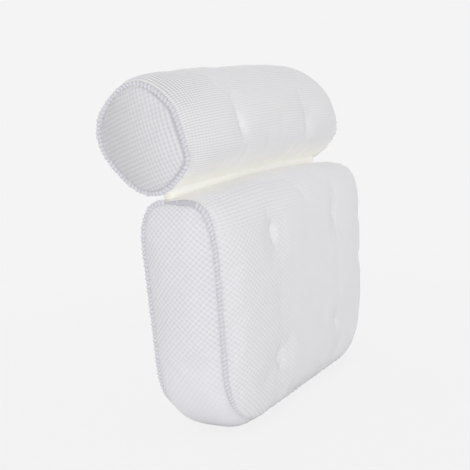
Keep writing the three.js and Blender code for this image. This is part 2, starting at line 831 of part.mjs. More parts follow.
// A tie between two points of the cover, with the cutter for its channel
function tieBetween(site, front, back) {
  const direction = back.clone().sub(front).normalize();
  const middle = front.clone().add(back).multiplyScalar(0.5);
  const geometry = placed(tieGeometry(front.distanceTo(back)), middle, direction);
  const mesh = madeMesh(`tuft_tie_${site.name}`, geometry, 'thread');
  return { mesh, channel: drill(front, back, tieHole, tieSides, drillMargin) };
}

// A cup with its eyelet on a flat seat, with the cutters for the cover's hole and the filling's pocket
function cupOnSeat(site, seat, direction) {
  const eyelet = madeMesh(`cup_eyelet_${site.name}`, placed(eyeletGeometry(), seat, direction), 'eyelet');
  const cup = madeMesh(`suction_cup_${site.name}`, placed(cupGeometry(), seat, direction), 'cup');
  const outside = seat.clone().addScaledVector(direction, drillMargin);
  const within = seat.clone().addScaledVector(direction, -(meshThickness + fillClearance + drillMargin));
  const bottom = seat.clone().addScaledVector(direction, stemTip - fillClearance);
  const pocketRadius = Math.max(eyeletFlangeRadius, stemHeadRadius) + fillClearance;
  const hole = drill(outside, within, eyeletCollarRadius + sewingClearance, eyeletSides, 0);
  const pocket = drill(outside, bottom, pocketRadius, eyeletSides, 0);
  return { eyelet, cup, hole, pocket };
}

function buildPad() {
  const group = new THREE.Group();
  const rowOf = (rows, shoulder, z) => {
    const height = (row) => outlineAt(shoulder, row, { outer: padBottom, edge: padBottom }, 0).z;
    const isFar = (row) => (row.zone === 'top' ? Infinity : Math.abs(height(row) - z));
    return rows.reduce((best, row) => (isFar(row) < isFar(best) ? row : best));
  };
  const ties = padSites.map((site) => {
    const column = { x: site.x, turn: 0 };
    const front = padPoint(frontShoulder, column, rowOf(frontRows, frontShoulder, site.tuftZ), 0, 0);
    const back = padPoint(backShoulder, column, rowOf(backRows, backShoulder, site.tuftZ), 0, 0);
    return tieBetween(site, front, back);
  });
  const cups = padSites.map((site) => {
    const x = site.x * padNarrow(site.cupZ);
    return cupOnSeat(site, new THREE.Vector3(x, seatHeight(site), site.cupZ), backwards);
  });
  const channels = ties.map((tie) => tie.channel);
  const frontSheet = sheetGeometry(
    padGrid(frontShoulder, frontRows, seamSetback, 0),
    padGrid(frontShoulder, frontRows, panelInset, meshThickness),
  );
  const backSheet = sheetGeometry(
    padGrid(backShoulder, backRows, seamSetback, 0).reverse(),
    padGrid(backShoulder, backRows, panelInset, meshThickness).reverse(),
  );
  const frontFill = padGrid(frontShoulder, frontRows, panelInset, fillInset);
  const backFill = padGrid(backShoulder, backRows, panelInset, fillInset);
  const loops = padColumns.map((column, j) => {
    const front = frontFill.map((row) => row[j]);
    const back = backFill.map((row) => row[j]);
    return [...front, ...back.reverse()];
  });
  const ends = [loops[0], loops[loops.length - 1]].map((loop) => {
    const middle = loop.reduce((sum, point) => sum.add(point), new THREE.Vector3());
    return middle.divideScalar(loop.length);
  });
  const fill = loftGeometry(loops, ends);
  const frontSeam = beadGeometry(padSeamStations(frontShoulder, frontRows), false);
  const backSeam = beadGeometry(padSeamStations(backShoulder, backRows), false);
  const boxing = sheetGeometry(boxingGrid(0), boxingGrid(meshThickness));
  const holes = cups.map((cup) => cup.hole);
  const pockets = cups.map((cup) => cup.pocket);
  group.add(madeMesh('pad_front_panel', cut(frontSheet, channels), 'mesh'));
  group.add(madeMesh('pad_back_panel', cut(backSheet, [...channels, ...holes]), 'mesh'));
  group.add(madeMesh('pad_boxing_strip', boxing, 'mesh'));
  group.add(madeMesh('pad_front_seam', frontSeam, 'seam'));
  group.add(madeMesh('pad_back_seam', backSeam, 'seam'));
  group.add(madeMesh('pad_filling', cut(fill, [...channels, ...pockets]), 'fill'));
  const leaf = madeMesh('hinge_web_lower', lowerLeaf(), 'web');
  leaf.position.set(0, hingeY, hingeZ);
  group.add(leaf, ...ties.map((tie) => tie.mesh), ...cups.flatMap((cup) => [cup.eyelet, cup.cup]));
  return group;
}

function buildHead() {
  const group = new THREE.Group();
  group.position.copy(headMiddle);
  const ties = headSites.map((site) => {
    return tieBetween(site, headPoint(site.x, headTuftAngle, 0), headPoint(site.x, headTieBackAngle, 0));
  });
  const cups = headSites.map((site) => {
    const seat = new THREE.Vector3(site.x, 0, 0).addScaledVector(cupOut, headSeatDepth);
    return cupOnSeat(site, seat, cupOut);
  });
  const channels = ties.map((tie) => tie.channel);
  const wrap = sheetGeometry(headGrid(seamSetback, 0), headGrid(panelInset, meshThickness));
  const columnLoops = headColumns.map((x) => {
    return headAngles.map((degrees) => headPoint(headColumnX(x, fillInset), degrees, fillInset));
  });
  const leftEnd = headEndLoops(-1, fillInset, fillInset);
  const rightEnd = headEndLoops(1, fillInset, fillInset);
  const leftLoops = leftEnd.loops.slice(1).reverse();
  const loops = [...leftLoops, ...columnLoops, ...rightEnd.loops.slice(1)];
  const fill = loftGeometry(loops, [leftEnd.middle, rightEnd.middle]);
  const holes = cups.map((cup) => cup.hole);
  const pockets = cups.map((cup) => cup.pocket);
  group.add(madeMesh('head_wrap_panel', cut(wrap, [...channels, ...holes]), 'mesh'));
  group.add(madeMesh('head_end_cap_left', headEndCap(-1), 'mesh'));
  group.add(madeMesh('head_end_cap_right', headEndCap(1), 'mesh'));
  group.add(madeMesh('head_seam_left', beadGeometry(headSeamStations(-1), true), 'seam'));
  group.add(madeMesh('head_seam_right', beadGeometry(headSeamStations(1), true), 'seam'));
  group.add(madeMesh('head_filling', cut(fill, [...channels, ...pockets]), 'fill'));
  const leaf = madeMesh('hinge_web_upper', upperLeaf(), 'web');
  leaf.position.set(0, hingeY, hingeZ).sub(headMiddle);
  group.add(leaf, ...ties.map((tie) => tie.mesh), ...cups.flatMap((cup) => [cup.eyelet, cup.cup]));
  return group;
}

// The whole pillow stands on its flat bottom, over the middle of its own box
const pillow = new THREE.Group();
pillow.name = 'bath_pillow';
pillow.add(buildPad(), buildHead());
const box = new THREE.Box3().setFromObject(pillow);
const middle = box.getCenter(new THREE.Vector3());
pillow.position.set(-middle.x, -middle.y, -box.min.z);

export default pillow;
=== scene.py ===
# Bath pillow in white spacer mesh: a stuffed head roll on a fabric hinge above a stuffed shoulder pad
import json
import math

import bmesh
import bpy
import numpy as np
from mathutils import Matrix, Vector


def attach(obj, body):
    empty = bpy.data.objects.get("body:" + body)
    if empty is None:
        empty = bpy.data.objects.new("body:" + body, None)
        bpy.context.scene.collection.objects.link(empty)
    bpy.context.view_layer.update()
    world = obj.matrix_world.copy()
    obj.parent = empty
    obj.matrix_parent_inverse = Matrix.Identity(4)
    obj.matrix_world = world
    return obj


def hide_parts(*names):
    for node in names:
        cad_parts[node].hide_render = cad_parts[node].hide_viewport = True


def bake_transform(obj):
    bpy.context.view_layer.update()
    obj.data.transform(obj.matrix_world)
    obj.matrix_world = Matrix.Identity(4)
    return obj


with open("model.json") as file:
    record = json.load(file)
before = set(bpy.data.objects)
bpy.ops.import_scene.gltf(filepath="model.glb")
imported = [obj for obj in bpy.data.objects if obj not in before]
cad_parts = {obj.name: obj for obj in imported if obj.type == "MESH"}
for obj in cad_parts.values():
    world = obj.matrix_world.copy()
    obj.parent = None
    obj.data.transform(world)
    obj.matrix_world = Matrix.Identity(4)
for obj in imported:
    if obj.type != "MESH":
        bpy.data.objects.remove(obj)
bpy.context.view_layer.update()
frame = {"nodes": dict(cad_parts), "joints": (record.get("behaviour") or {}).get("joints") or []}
scene = bpy.context.scene
scene.view_settings.view_transform = "Standard"
joints = {joint["name"]: joint for joint in frame["joints"]}
hingePoint = np.array(joints["head_fold"]["pos_m"])
print("frame loaded:", len(frame["nodes"]), "nodes")


def addObject(name, data):
    thing = bpy.data.objects.new(name, data)
    scene.collection.objects.link(thing)
    return thing


# Camera, fitted to the seams of the photograph
cameraView = {
    "place": (-0.93710, -0.51338, 0.35287),
    "right": (0.48163, -0.87405, -0.06377),
    "up": (0.17010, 0.02185, 0.98518),
    "back": (-0.85971, -0.48535, 0.15920),
    "focalPixels": 945.70,
    "imagePixels": 470,
    "sensor": 36.0,
    "clipEnd": 60.0,
}


def makeCamera(look):
    data = bpy.data.cameras.new("photoCamera")
    data.sensor_width = look["sensor"]
    data.sensor_fit = "HORIZONTAL"
    data.lens = look["focalPixels"] / look["imagePixels"] * look["sensor"]
    data.clip_end = look["clipEnd"]
    scene.camera = addObject("photoCamera", data)
    columns = [Vector(look[key]).normalized() for key in ("right", "up", "back")]
    scene.camera.matrix_world = Matrix.Translation(look["place"]) @ Matrix(columns).transposed().to_4x4()


makeCamera(cameraView)
print("camera placed")


# Small helpers for node trees
def feed(tree, socket, value):
    if isinstance(value, bpy.types.NodeSocket):
        tree.links.new(value, socket)
    elif value is not None:
        socket.default_value = value


def feedAll(tree, node, values):
    for socket, value in values.items():
        feed(tree, node.inputs[socket], value)
    return node


def addNode(tree, kind, values=None, **settings):
    node = tree.nodes.new(kind)
    for key, value in settings.items():
        setattr(node, key, value)
    return feedAll(tree, node, values or {})


def calc(tree, operation, first, second=None):
    return addNode(tree, "ShaderNodeMath", {0: first, 1: second}, operation=operation).outputs[0]


def vectorCalc(tree, operation, first, second, socket=1):
    values = {0: first, socket: second}
    return addNode(tree, "ShaderNodeVectorMath", values, operation=operation).outputs[0]


def ramp(tree, value, fromLow, fromHigh, toLow=0.0, toHigh=1.0, kind="SMOOTHSTEP"):
    values = {"Value": value, "From Min": fromLow, "From Max": fromHigh, "To Min": toLow, "To Max": toHigh}
    return addNode(tree, "ShaderNodeMapRange", values, interpolation_type=kind).outputs[0]


def mixColour(tree, share, first, second, blend="MIX"):
    values = {0: share, 6: first, 7: second}
    return addNode(tree, "ShaderNodeMix", values, data_type="RGBA", blend_type=blend).outputs[2]


def greyOf(tree, value):
    return addNode(tree, "ShaderNodeCombineColor", {"Red": value, "Green": value, "Blue": value}).outputs[0]


def axesOf(tree, vector):
    return addNode(tree, "ShaderNodeSeparateXYZ", {0: vector}).outputs


def objectPlace(tree):
    return addNode(tree, "ShaderNodeTexCoord").outputs["Object"]


def addNoise(tree, place, scale, detail, **settings):
    values = {"Vector": place, "Scale": scale, "Detail": detail}
    return addNode(tree, "ShaderNodeTexNoise", values, **settings).outputs


def addBump(tree, bump, height, under=None):
    strength, depth = bump
    values = {"Strength": strength, "Distance": depth, "Height": height, "Normal": under}
    return addNode(tree, "ShaderNodeBump", values).outputs[0]


def newGroup(name, inputs, outputs, treeKind="ShaderNodeTree"):
    group = bpy.data.node_groups.new(name, treeKind)
    for label, kind, value in inputs:
        socket = group.interface.new_socket(label, in_out="INPUT", socket_type=kind)
        if value is not None:
            socket.default_value = value
    for label, kind in outputs:
        group.interface.new_socket(label, in_out="OUTPUT", socket_type=kind)
    return group, addNode(group, "NodeGroupInput").outputs, addNode(group, "NodeGroupOutput")


def placeGroup(tree, group, values):
    return addNode(tree, "ShaderNodeGroup", values, node_tree=group).outputs


# Small helpers for meshes: a cover gathers its points, and its faces with their finish and plans
def newCover():
    return {"points": [], "faces": [], "finish": [], "cutPlan": [], "edgePlan": []}


def addFace(cover, corners, cutPlan, finish=0, edgePlan=()):
    cover["faces"].append([int(corner) for corner in corners])
    cover["cutPlan"] += cutPlan
    cover["edgePlan"] += edgePlan
    cover["finish"].append(finish)


def makePiece(name, cover, *finishNames):
    mesh = bpy.data.meshes.new(name)
    mesh.from_pydata([tuple(point) for point in cover["points"]], [], cover["faces"])
    for finishName in finishNames:
        mesh.materials.append(finishes[finishName])
    if cover["finish"]:
        mesh.polygons.foreach_set("material_index", cover["finish"])
    for label in ("cutPlan", "edgePlan"):
        if cover[label]:
            layer = mesh.uv_layers.new(name=label)
            layer.data.foreach_set("uv", np.array(cover[label], float).ravel())
    mesh.polygons.foreach_set("use_smooth", [True] * len(cover["faces"]))
    shell = bmesh.new()
    shell.from_mesh(mesh)
    bmesh.ops.recalc_face_normals(shell, faces=shell.faces)
    if shell.calc_volume(signed=True) < 0:
        bmesh.ops.reverse_faces(shell, faces=shell.faces)
    shell.to_mesh(mesh)
    shell.free()
    mesh.update()
    return addObject(name, mesh)


def finishPiece(piece, body, slot, *nodes):
    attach(piece, body)
    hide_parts(*nodes)


# Knitted holes of the spacer mesh, on the cut plan of each panel in metres
knitWaver = {"scale": 55, "detail": 1}


def spacerMeshGroup():
    group, given, leave = newGroup("spacerMeshHoles", [
        ("Plan", "NodeSocketVector", None),
        ("Pitch Across", "NodeSocketFloat", 0.0034),
        ("Pitch Along", "NodeSocketFloat", 0.0034),
        ("Stagger", "NodeSocketFloat", 1.0),
        ("Row Share", "NodeSocketFloat", 0.5),
        ("Hole Level", "NodeSocketFloat", 0.35),
        ("Softness", "NodeSocketFloat", 0.35),
        ("Waver", "NodeSocketFloat", 0.0006),
    ], [("Hole", "NodeSocketFloat"), ("Height", "NodeSocketFloat")])
    waver = addNoise(group, given["Plan"], knitWaver["scale"], knitWaver["detail"], noise_dimensions="2D")
    shift = vectorCalc(group, "SUBTRACT", waver["Color"], (0.5, 0.5, 0.5))
    drift = vectorCalc(group, "SCALE", shift, given["Waver"], "Scale")
    axes = axesOf(group, vectorCalc(group, "ADD", given["Plan"], drift))
    waves = []
    for axis, pitch in (("X", "Pitch Across"), ("Y", "Pitch Along")):
        turns = calc(group, "DIVIDE", axes[axis], given[pitch])
        waves.append(calc(group, "COSINE", calc(group, "MULTIPLY", turns, 2 * math.pi)))
    rest = calc(group, "SUBTRACT", 1.0, given["Row Share"])
    rowPart = calc(group, "MULTIPLY", waves[1], given["Row Share"])
    square = calc(group, "ADD", calc(group, "MULTIPLY", waves[0], rest), rowPart)
    diamond = calc(group, "MULTIPLY", waves[0], waves[1])
    gap = calc(group, "SUBTRACT", diamond, square)
    lattice = calc(group, "ADD", square, calc(group, "MULTIPLY", gap, given["Stagger"]))
    low = calc(group, "SUBTRACT", given["Hole Level"], given["Softness"])
    high = calc(group, "ADD", given["Hole Level"], given["Softness"])
    hole = ramp(group, lattice, low, high)
    feedAll(group, leave, {"Hole": hole, "Height": calc(group, "SUBTRACT", 1.0, hole)})
    return group


# Soft clouding of the yarn, and painted light near the crease: a cream tint and a weak cream glow for the light
# that the tape throws on the cloth there
yarnGrain = {"cloudDetail": 3, "fuzzScale": 1500, "fuzzDetail": 2, "creamStart": 0.006}


def yarnToneGroup():
    group, given, leave = newGroup("yarnTone", [
        ("Colour", "NodeSocketColor", (0.8, 0.8, 0.8, 1)),
        ("Cloud Size", "NodeSocketFloat", 18.0),
        ("Cloud Depth", "NodeSocketFloat", 0.05),
        ("Cream", "NodeSocketColor", (0.930, 0.915, 0.860, 1)),
        ("Cream Reach", "NodeSocketFloat", 0.045),
        ("Cream Share", "NodeSocketFloat", 0.0),
    ], [("Colour", "NodeSocketColor"), ("Glow", "NodeSocketColor"), ("Fuzz", "NodeSocketFloat")])
    place = objectPlace(group)
    cloud = addNoise(group, place, given["Cloud Size"], yarnGrain["cloudDetail"])
    dip = calc(group, "MULTIPLY", cloud["Fac"], given["Cloud Depth"])
    shade = greyOf(group, calc(group, "SUBTRACT", 1.0, dip))
    clouded = mixColour(group, 1.0, given["Colour"], shade, "MULTIPLY")
    axes = axesOf(group, place)
    squares = []
    for axis, middle in (("Y", hingePoint[1]), ("Z", hingePoint[2])):
        off = calc(group, "SUBTRACT", axes[axis], float(middle))
        squares.append(calc(group, "MULTIPLY", off, off))
    away = calc(group, "SQRT", calc(group, "ADD", *squares))
    near = ramp(group, away, yarnGrain["creamStart"], given["Cream Reach"], 1.0, 0.0)
    share = calc(group, "MULTIPLY", near, given["Cream Share"])
    fuzz = addNoise(group, place, yarnGrain["fuzzScale"], yarnGrain["fuzzDetail"])
    feedAll(group, leave, {
        "Colour": mixColour(group, share, clouded, given["Cream"]),
        "Glow": mixColour(group, share, (0, 0, 0, 1), given["Cream"]),
        "Fuzz": fuzz["Fac"],
    })
    return group


spacerMesh = spacerMeshGroup()
yarnTone = yarnToneGroup()


# A new material with the sockets that are the same all over it
def newFinish(name, **values):
    finish = bpy.data.materials.new(name)
    finish.use_nodes = True
    tree = finish.node_tree
    shader = tree.nodes["Principled BSDF"]
    sockets = {"rough": "Roughness", "sheen": "Sheen Weight", "shine": "Specular IOR Level",
               "through": "Subsurface Weight", "reach": "Subsurface Radius", "glow": "Emission Strength"}
    for key, value in values.items():
        shader.inputs[sockets[key]].default_value = value
    if "through" in values:
        shader.inputs["Subsurface Scale"].default_value = 1.0
    return finish, tree, shader


# One panel's mesh: yarn and hole colours, knit pitch in metres, and how open the holes are.
# Spans are two places, then the values there: rows and tone on the plan's X, front and over on its Y
# cream is the share of the painted cream light near the crease
meshLooks = {
    "rollMesh": {
        "yarn": (0.892, 0.890, 0.904), "hole": (0.600, 0.597, 0.634), "across": 0.0045, "along": 0.0025,
        "stagger": 0.0, "level": 0.2, "soft": 0.62, "cream": 0.95, "rows": (0.100, 0.165, 0.86, 0.34),
        "calm": ("X", -0.175, -0.07, 1.0, 0.32), "front": (0.195, 0.245, 0.72, 0.50),
    },
    "capMesh": {
        "yarn": (0.846, 0.842, 0.872), "hole": (0.706, 0.702, 0.738), "across": 0.0040, "along": 0.0043,
        "stagger": 0.0, "level": 0.12, "soft": 0.70, "cream": 0.0, "rows": (-0.022, 0.024, 0.70, 0.38),
        # tone is painted shade: one side of each cap darker, where it turns from the light
        "calm": ("Y", -0.045, 0.035, 0.95, 0.62), "tone": (-0.035, 0.024, 0.83, 0.975), "edgeShade": 0.75,
    },
    "padFrontMesh": {
        "yarn": (0.888, 0.884, 0.911), "hole": (0.778, 0.774, 0.811), "across": 0.0068, "along": 0.0056,
        "stagger": 1.0, "level": 0.15, "soft": 0.60, "cream": 0.6,
        "calm": ("X", -0.165, 0.04, 0.80, 0.12), "over": (0.0032, 0.052, 0.085, 1.25, 0.0),
    },
    "padSideMesh": {
        "yarn": (0.876, 0.871, 0.903), "hole": (0.728, 0.723, 0.766), "across": 0.0060, "along": 0.0060,
        "stagger": 1.0, "level": 0.15, "soft": 0.60, "cream": 0.0, "calm": ("Z", 0.02, 0.13, 0.12, 0.8),
    },
    "padBackMesh": {
        "yarn": (0.890, 0.887, 0.908), "hole": (0.745, 0.742, 0.775), "across": 0.0060, "along": 0.0060,
        "stagger": 1.0, "level": 0.25, "soft": 0.45, "cream": 0.3,
    },
}
# glow is the strength of the painted cream glow near the crease
meshCloth = {"through": 0.30, "reach": 0.008, "glow": 0.12, "sheen": 0.12, "shine": 0.2, "rough": (0.84, 0.97),
             # tuft is the colour of the painted highlight at the tufts; fold is the colour of painted shade, at
             # the tufts and under the caps' cords
             "tuft": (0.985, 0.985, 0.990), "fold": (0.560, 0.555, 0.600), "creamReach": 0.055,
             "bump": (0.22, 0.0011), "fuzz": (0.10, 0.0002)}
overRows = {"share": 0.75, "level": 0.35, "soft": 0.60}
capLine = {"ring": (0.900, 0.955), "front": (0.012, 0.030), "below": (0.022, 0.045)}


# Painted shade: the thin dark line where a cap dips under its cord, in front and below
def seamShade(tree, axes, share):
    edge = addNode(tree, "ShaderNodeUVMap", uv_map="edgePlan")
    line = ramp(tree, axesOf(tree, edge.outputs[0])["X"], *capLine["ring"])
    front = ramp(tree, axes["X"], *capLine["front"])
    below = ramp(tree, axes["Y"], *capLine["below"])
    return calc(tree, "MULTIPLY", line, calc(tree, "MULTIPLY", calc(tree, "MAXIMUM", front, below), share))


# The share of holes over a panel and the height of its knit
def knitOf(tree, look, plan, axes):
    rowShare = None
    if "rows" in look:
        near, far, first, last = look["rows"]
        along = axes["X"]
        if "front" in look:
            along = calc(tree, "ABSOLUTE", along)
            last = ramp(tree, axes["Y"], *look["front"][:2], last, look["front"][2])
        rowShare = ramp(tree, along, near, far, first, last)
    knit = placeGroup(tree, spacerMesh, {
        "Plan": plan, "Pitch Across": look["across"], "Pitch Along": look["along"], "Stagger": look["stagger"],
        "Row Share": rowShare, "Hole Level": look["level"], "Softness": look["soft"],
    })
    hole, height = knit["Hole"], knit["Height"]
    if "over" in look:
        pitch, *span = look["over"]
        lines = placeGroup(tree, spacerMesh, {
            "Plan": plan, "Pitch Across": look["across"], "Pitch Along": pitch, "Stagger": 0.0,
            "Row Share": overRows["share"], "Hole Level": overRows["level"], "Softness": overRows["soft"],
        })
        share = ramp(tree, axes["Y"], *span)
        change = calc(tree, "MULTIPLY", calc(tree, "SUBTRACT", lines["Hole"], hole), share)
        hole = calc(tree, "ADD", hole, change)
        height = calc(tree, "SUBTRACT", 1.0, hole)
    # calm fades the knit's holes and relief along an axis of the pillow, so that the cloth is plainer and paler
    # there
    if "calm" in look:
        axis, *span = look["calm"]
        calm = ramp(tree, axesOf(tree, objectPlace(tree))[axis], *span)
        if "front" in look:
            fainter = ramp(tree, axes["Y"], *look["front"][:2], 1.0, look["front"][3])
            calm = calc(tree, "MULTIPLY", calm, fainter)
        hole, height = calc(tree, "MULTIPLY", hole, calm), calc(tree, "MULTIPLY", height, calm)
    return knit["Hole"], hole, height


def meshFinish(name, look):
    finish, tree, shader = newFinish(
        name, sheen=meshCloth["sheen"], shine=meshCloth["shine"], through=meshCloth["through"],
        reach=(meshCloth["reach"],) * 3, glow=meshCloth["glow"])
    plan = addNode(tree, "ShaderNodeUVMap", uv_map="cutPlan").outputs[0]
    axes = axesOf(tree, plan)
    evenHole, hole, height = knitOf(tree, look, plan, axes)
    colour = mixColour(tree, hole, (*look["yarn"], 1), (*look["hole"], 1))
    # Painted shade: one side of a cap darker, where it turns from the light
    if "tone" in look:
        shade = greyOf(tree, ramp(tree, axes["X"], *look["tone"]))
        colour = mixColour(tree, 1.0, colour, shade, "MULTIPLY")
    # Painted highlight at the tufts in the tuft colour, and painted shadow along their folds in the fold colour
    for attribute, key in (("drawn", "tuft"), ("folded", "fold")):
        mask = addNode(tree, "ShaderNodeAttribute", attribute_name=attribute)
        colour = mixColour(tree, mask.outputs["Fac"], colour, (*meshCloth[key], 1))
    # Painted shade under the cap's cord, in the fold colour
    if "edgeShade" in look:
        line = seamShade(tree, axes, look["edgeShade"])
        colour = mixColour(tree, line, colour, (*meshCloth["fold"], 1))
    # Painted light: near the crease the yarn turns cream and glows weakly
    tone = placeGroup(tree, yarnTone, {
        "Colour": colour, "Cream Share": look["cream"], "Cream Reach": meshCloth["creamReach"],
    })
    fuzz = addBump(tree, meshCloth["fuzz"], tone["Fuzz"])
    feedAll(tree, shader, {
        "Base Color": tone["Colour"], "Emission Color": tone["Glow"],
        "Roughness": ramp(tree, evenHole, 0, 1, *meshCloth["rough"], "LINEAR"),
        "Normal": addBump(tree, meshCloth["bump"], height, fuzz),
    })
    return finish


threadLooks = {
    "overlockThread": {"colour": (0.822, 0.815, 0.858), "cloud": 240.0, "depth": 0.08, "rough": 0.72},
    # The core is darker than the thread: in part painted shade for the gaps between the wraps
    "overlockCore": {"colour": (0.720, 0.710, 0.766), "cloud": 160.0, "depth": 0.12, "rough": 0.9,
                     # tail: painted shade on the bare tail of the front cord, under the overhang of the pad's
                     # top
                     "tail": (0.640, 0.632, 0.686)},
    "tuftThread": {"colour": (0.880, 0.880, 0.895), "cloud": 300.0, "depth": 0.12, "rough": 0.75},
}
threadCloth = {"sheen": 0.15, "shine": 0.2, "twist": (0.4, 0.0003)}


def threadFinish(name, look):
    finish, tree, shader = newFinish(
        name, rough=look["rough"], sheen=threadCloth["sheen"], shine=threadCloth["shine"])
    colour = (*look["colour"], 1)
    # Painted shade on the cord's bare tail
    if "tail" in look:
        bare = addNode(tree, "ShaderNodeAttribute", attribute_name="tailShare")
        colour = mixColour(tree, bare.outputs["Fac"], colour, (*look["tail"], 1))
    tone = placeGroup(tree, yarnTone, {
        "Colour": colour, "Cloud Size": look["cloud"], "Cloud Depth": look["depth"],
    })
    feedAll(tree, shader, {
        "Base Color": tone["Colour"], "Normal": addBump(tree, threadCloth["twist"], tone["Fuzz"]),
    })
    return finish


# The hinge tape: a cream woven web whose weak glow is painted light, for the light that comes through the thin
# tape in the gap
tapeLook = {"warp": (0.935, 0.920, 0.870), "weft": (0.880, 0.865, 0.810), "pitch": 0.0011, "soft": 0.6,
            "waver": 0.0002, "cloud": 60.0, "rough": 0.88, "sheen": 0.15, "shine": 0.2, "through": 0.9,
            "reach": (0.006, 0.0058, 0.005), "glow": 0.23, "bump": (0.4, 0.0004)}


def tapeFinish(look):
    constants = ("rough", "sheen", "shine", "through", "reach", "glow")
    finish, tree, shader = newFinish("hingeTape", **{key: look[key] for key in constants})
    weave = placeGroup(tree, spacerMesh, {
        "Plan": addNode(tree, "ShaderNodeUVMap", uv_map="cutPlan").outputs[0],
        "Pitch Across": look["pitch"], "Pitch Along": look["pitch"],
        "Stagger": 1.0, "Hole Level": 0.0, "Softness": look["soft"], "Waver": look["waver"],
    })
    colour = mixColour(tree, weave["Hole"], (*look["warp"], 1), (*look["weft"], 1))
    tone = placeGroup(tree, yarnTone, {"Colour": colour, "Cloud Size": look["cloud"]})
    # Painted light: the tape glows weakly in its own colour
    feedAll(tree, shader, {
        "Base Color": tone["Colour"], "Emission Color": tone["Colour"],
        "Normal": addBump(tree, look["bump"], weave["Height"]),
    })
    return finish


# Clear soft plastic with a faint moulding haze, clearer where it is looked at squarely
cupLook = {"tint": (0.83, 0.88, 0.90), "haze": (0.90, 0.93, 0.94), "rough": 0.12, "hazy": 0.22, "shine": 0.5,
           "middle": 0.26, "edge": 0.95, "facing": 0.35, "scale": 70, "detail": 4, "span": (0.3, 0.7)}


def cupFinish(look):
    finish, tree, shader = newFinish("clearCup", shine=look["shine"])
    haze = addNoise(tree, objectPlace(tree), look["scale"], look["detail"])["Fac"]
    cloudy = ramp(tree, haze, *look["span"])
    facing = addNode(tree, "ShaderNodeLayerWeight", {"Blend": look["facing"]}).outputs["Facing"]
    feedAll(tree, shader, {
        "Base Color": mixColour(tree, cloudy, (*look["tint"], 1), (*look["haze"], 1)),
        "Roughness": ramp(tree, haze, *look["span"], look["rough"], look["hazy"]),
        "Alpha": ramp(tree, facing, 0.0, 1.0, look["middle"], look["edge"]),
    })
    return finish


# Moulded plastic ring, a little worn where the stem rubs
eyeletLook = {"colour": (0.84, 0.84, 0.85), "worn": (0.74, 0.74, 0.76), "rough": 0.38, "wornRough": 0.6,
              "shine": 0.5, "scale": 260, "detail": 5, "span": (0.5, 0.75), "bump": (0.1, 0.0002)}


def eyeletFinish(look):
    finish, tree, shader = newFinish("eyeletPlastic", shine=look["shine"])
    scuff = addNoise(tree, objectPlace(tree), look["scale"], look["detail"])["Fac"]
    worn = ramp(tree, scuff, *look["span"])
    feedAll(tree, shader, {
        "Base Color": mixColour(tree, worn, (*look["colour"], 1), (*look["worn"], 1)),
        "Roughness": ramp(tree, worn, 0, 1, look["rough"], look["wornRough"], "LINEAR"),
        "Normal": addBump(tree, look["bump"], scuff),
    })
    return finish


finishes = {name: meshFinish(name, look) for name, look in meshLooks.items()}
finishes.update({name: threadFinish(name, look) for name, look in threadLooks.items()})
finishes["hingeTape"] = tapeFinish(tapeLook)
finishes["clearCup"] = cupFinish(cupLook)
finishes["eyeletPlastic"] = eyeletFinish(eyeletLook)
print("finishes ready:", len(finishes))


# Shoulder pad, in its own frame with the middle of its seams at the origin; side -1 is the front, 1 the back
padForm = {
    "width": 0.360, "height": 0.234, "thickTop": 0.083, "thickBottom": 0.075, "narrowing": 0.022,
    "corner": 0.066, "depth": {-1: 0.030, 1: 0.024}, "drop": {-1: 0.068, 1: 0.042}, "square": {-1: 3, 1: 2},
    "crown": {-1: 0.015, 1: 0.006}, "crownHeight": 0.020, "flatness": 6, "rounding": 0.55,
    "sideCrown": 0.0104, "sideFlatness": 4, "sideFade": 3, "topCrown": 0.0106, "topFlatness": 3,
    "hingeSetback": 0.0035, "hingeRise": 0.005, "hingeLift": 0.0045, "valley": 0.0012, "valleyReach": 0.020,
    "tuftX": 0.079, "tuftUp": 0.071, "tuftDown": -0.061, "cupInset": 0.024, "cupRecess": 0.004,
    "ledgeSteps": 12, "shoulderSteps": 90, "faceSteps": 60,
    "topRows": {-1: 16, 1: 2}, "sideRows": 56, "columns": 84,
}
tuftForm = {
    "depth": 0.0040, "reach": 0.024, "pit": 0.0070, "pitReach": 0.0088, "through": 0.03, "tall": 1.55,
    "pleats": 7, "pleatShare": 0.10, "pleatReach": 1.6, "knot": 0.25,
    # fold keys: a painted shadow along the fold on the side of each pit away from the light
    "fold": 1.05, "foldWidth": 0.32, "foldShare": 0.20, "foldSide": 1.6,
    # white keys: a painted highlight on the side of each pit that faces the light, strongest at the brightest
    # tufts
    "whiteShare": 0.28, "whiteTip": 0.95, "whiteReach": 1.25, "whiteFade": 0.95, "whiteSide": 0.6,
    "brightest": ("head_left", "pad_upper_left"),
}
seatForm = {"half": 0.011, "reach": 0.026}

padTop = padForm["height"] / 2
padBottom = -padForm["height"] / 2
padSide = padForm["width"] / 2
cornerX = padSide - padForm["corner"]
cornerStart = padBottom + padForm["corner"]


def padHalf(z):
    share = (z - padBottom) / padForm["height"]
    return (padForm["thickBottom"] + share * (padForm["thickTop"] - padForm["thickBottom"])) / 2


def shoulderOf(side):
    drop, depth = padForm["drop"][side], padForm["depth"][side]
    start = padTop - drop
    return drop, depth, start, padHalf(start) - depth


padHinge = np.array([0, shoulderOf(1)[3] - padForm["hingeSetback"], padTop + padForm["hingeRise"]])
padMiddle = hingePoint - padHinge


def padNarrow(z):
    return 1 - (padTop - z) / padForm["height"] * (padForm["narrowing"] / padForm["width"])


def smoothShare(share):
    share = min(max(share, 0.0), 1.0)
    return share * share * (3 - 2 * share)


# One over the middle of a stuffed panel, falling ever more steeply to nothing at its sewn edge
def puffed(share, flatness, rounding):
    return (1 - min(abs(share), 1.0) ** flatness) ** rounding


# A soft bell that has faded to a twentieth at its reach
def bell(share):
    return math.exp(-3 * share ** 2)


def tuftDip(distance):
    return tuftForm["depth"] * bell(distance / tuftForm["reach"])


def seatShare(offA, offB):
    distance = math.hypot(offA, offB)
    return smoothShare((seatForm["reach"] + seatForm["half"] - distance) / seatForm["reach"])


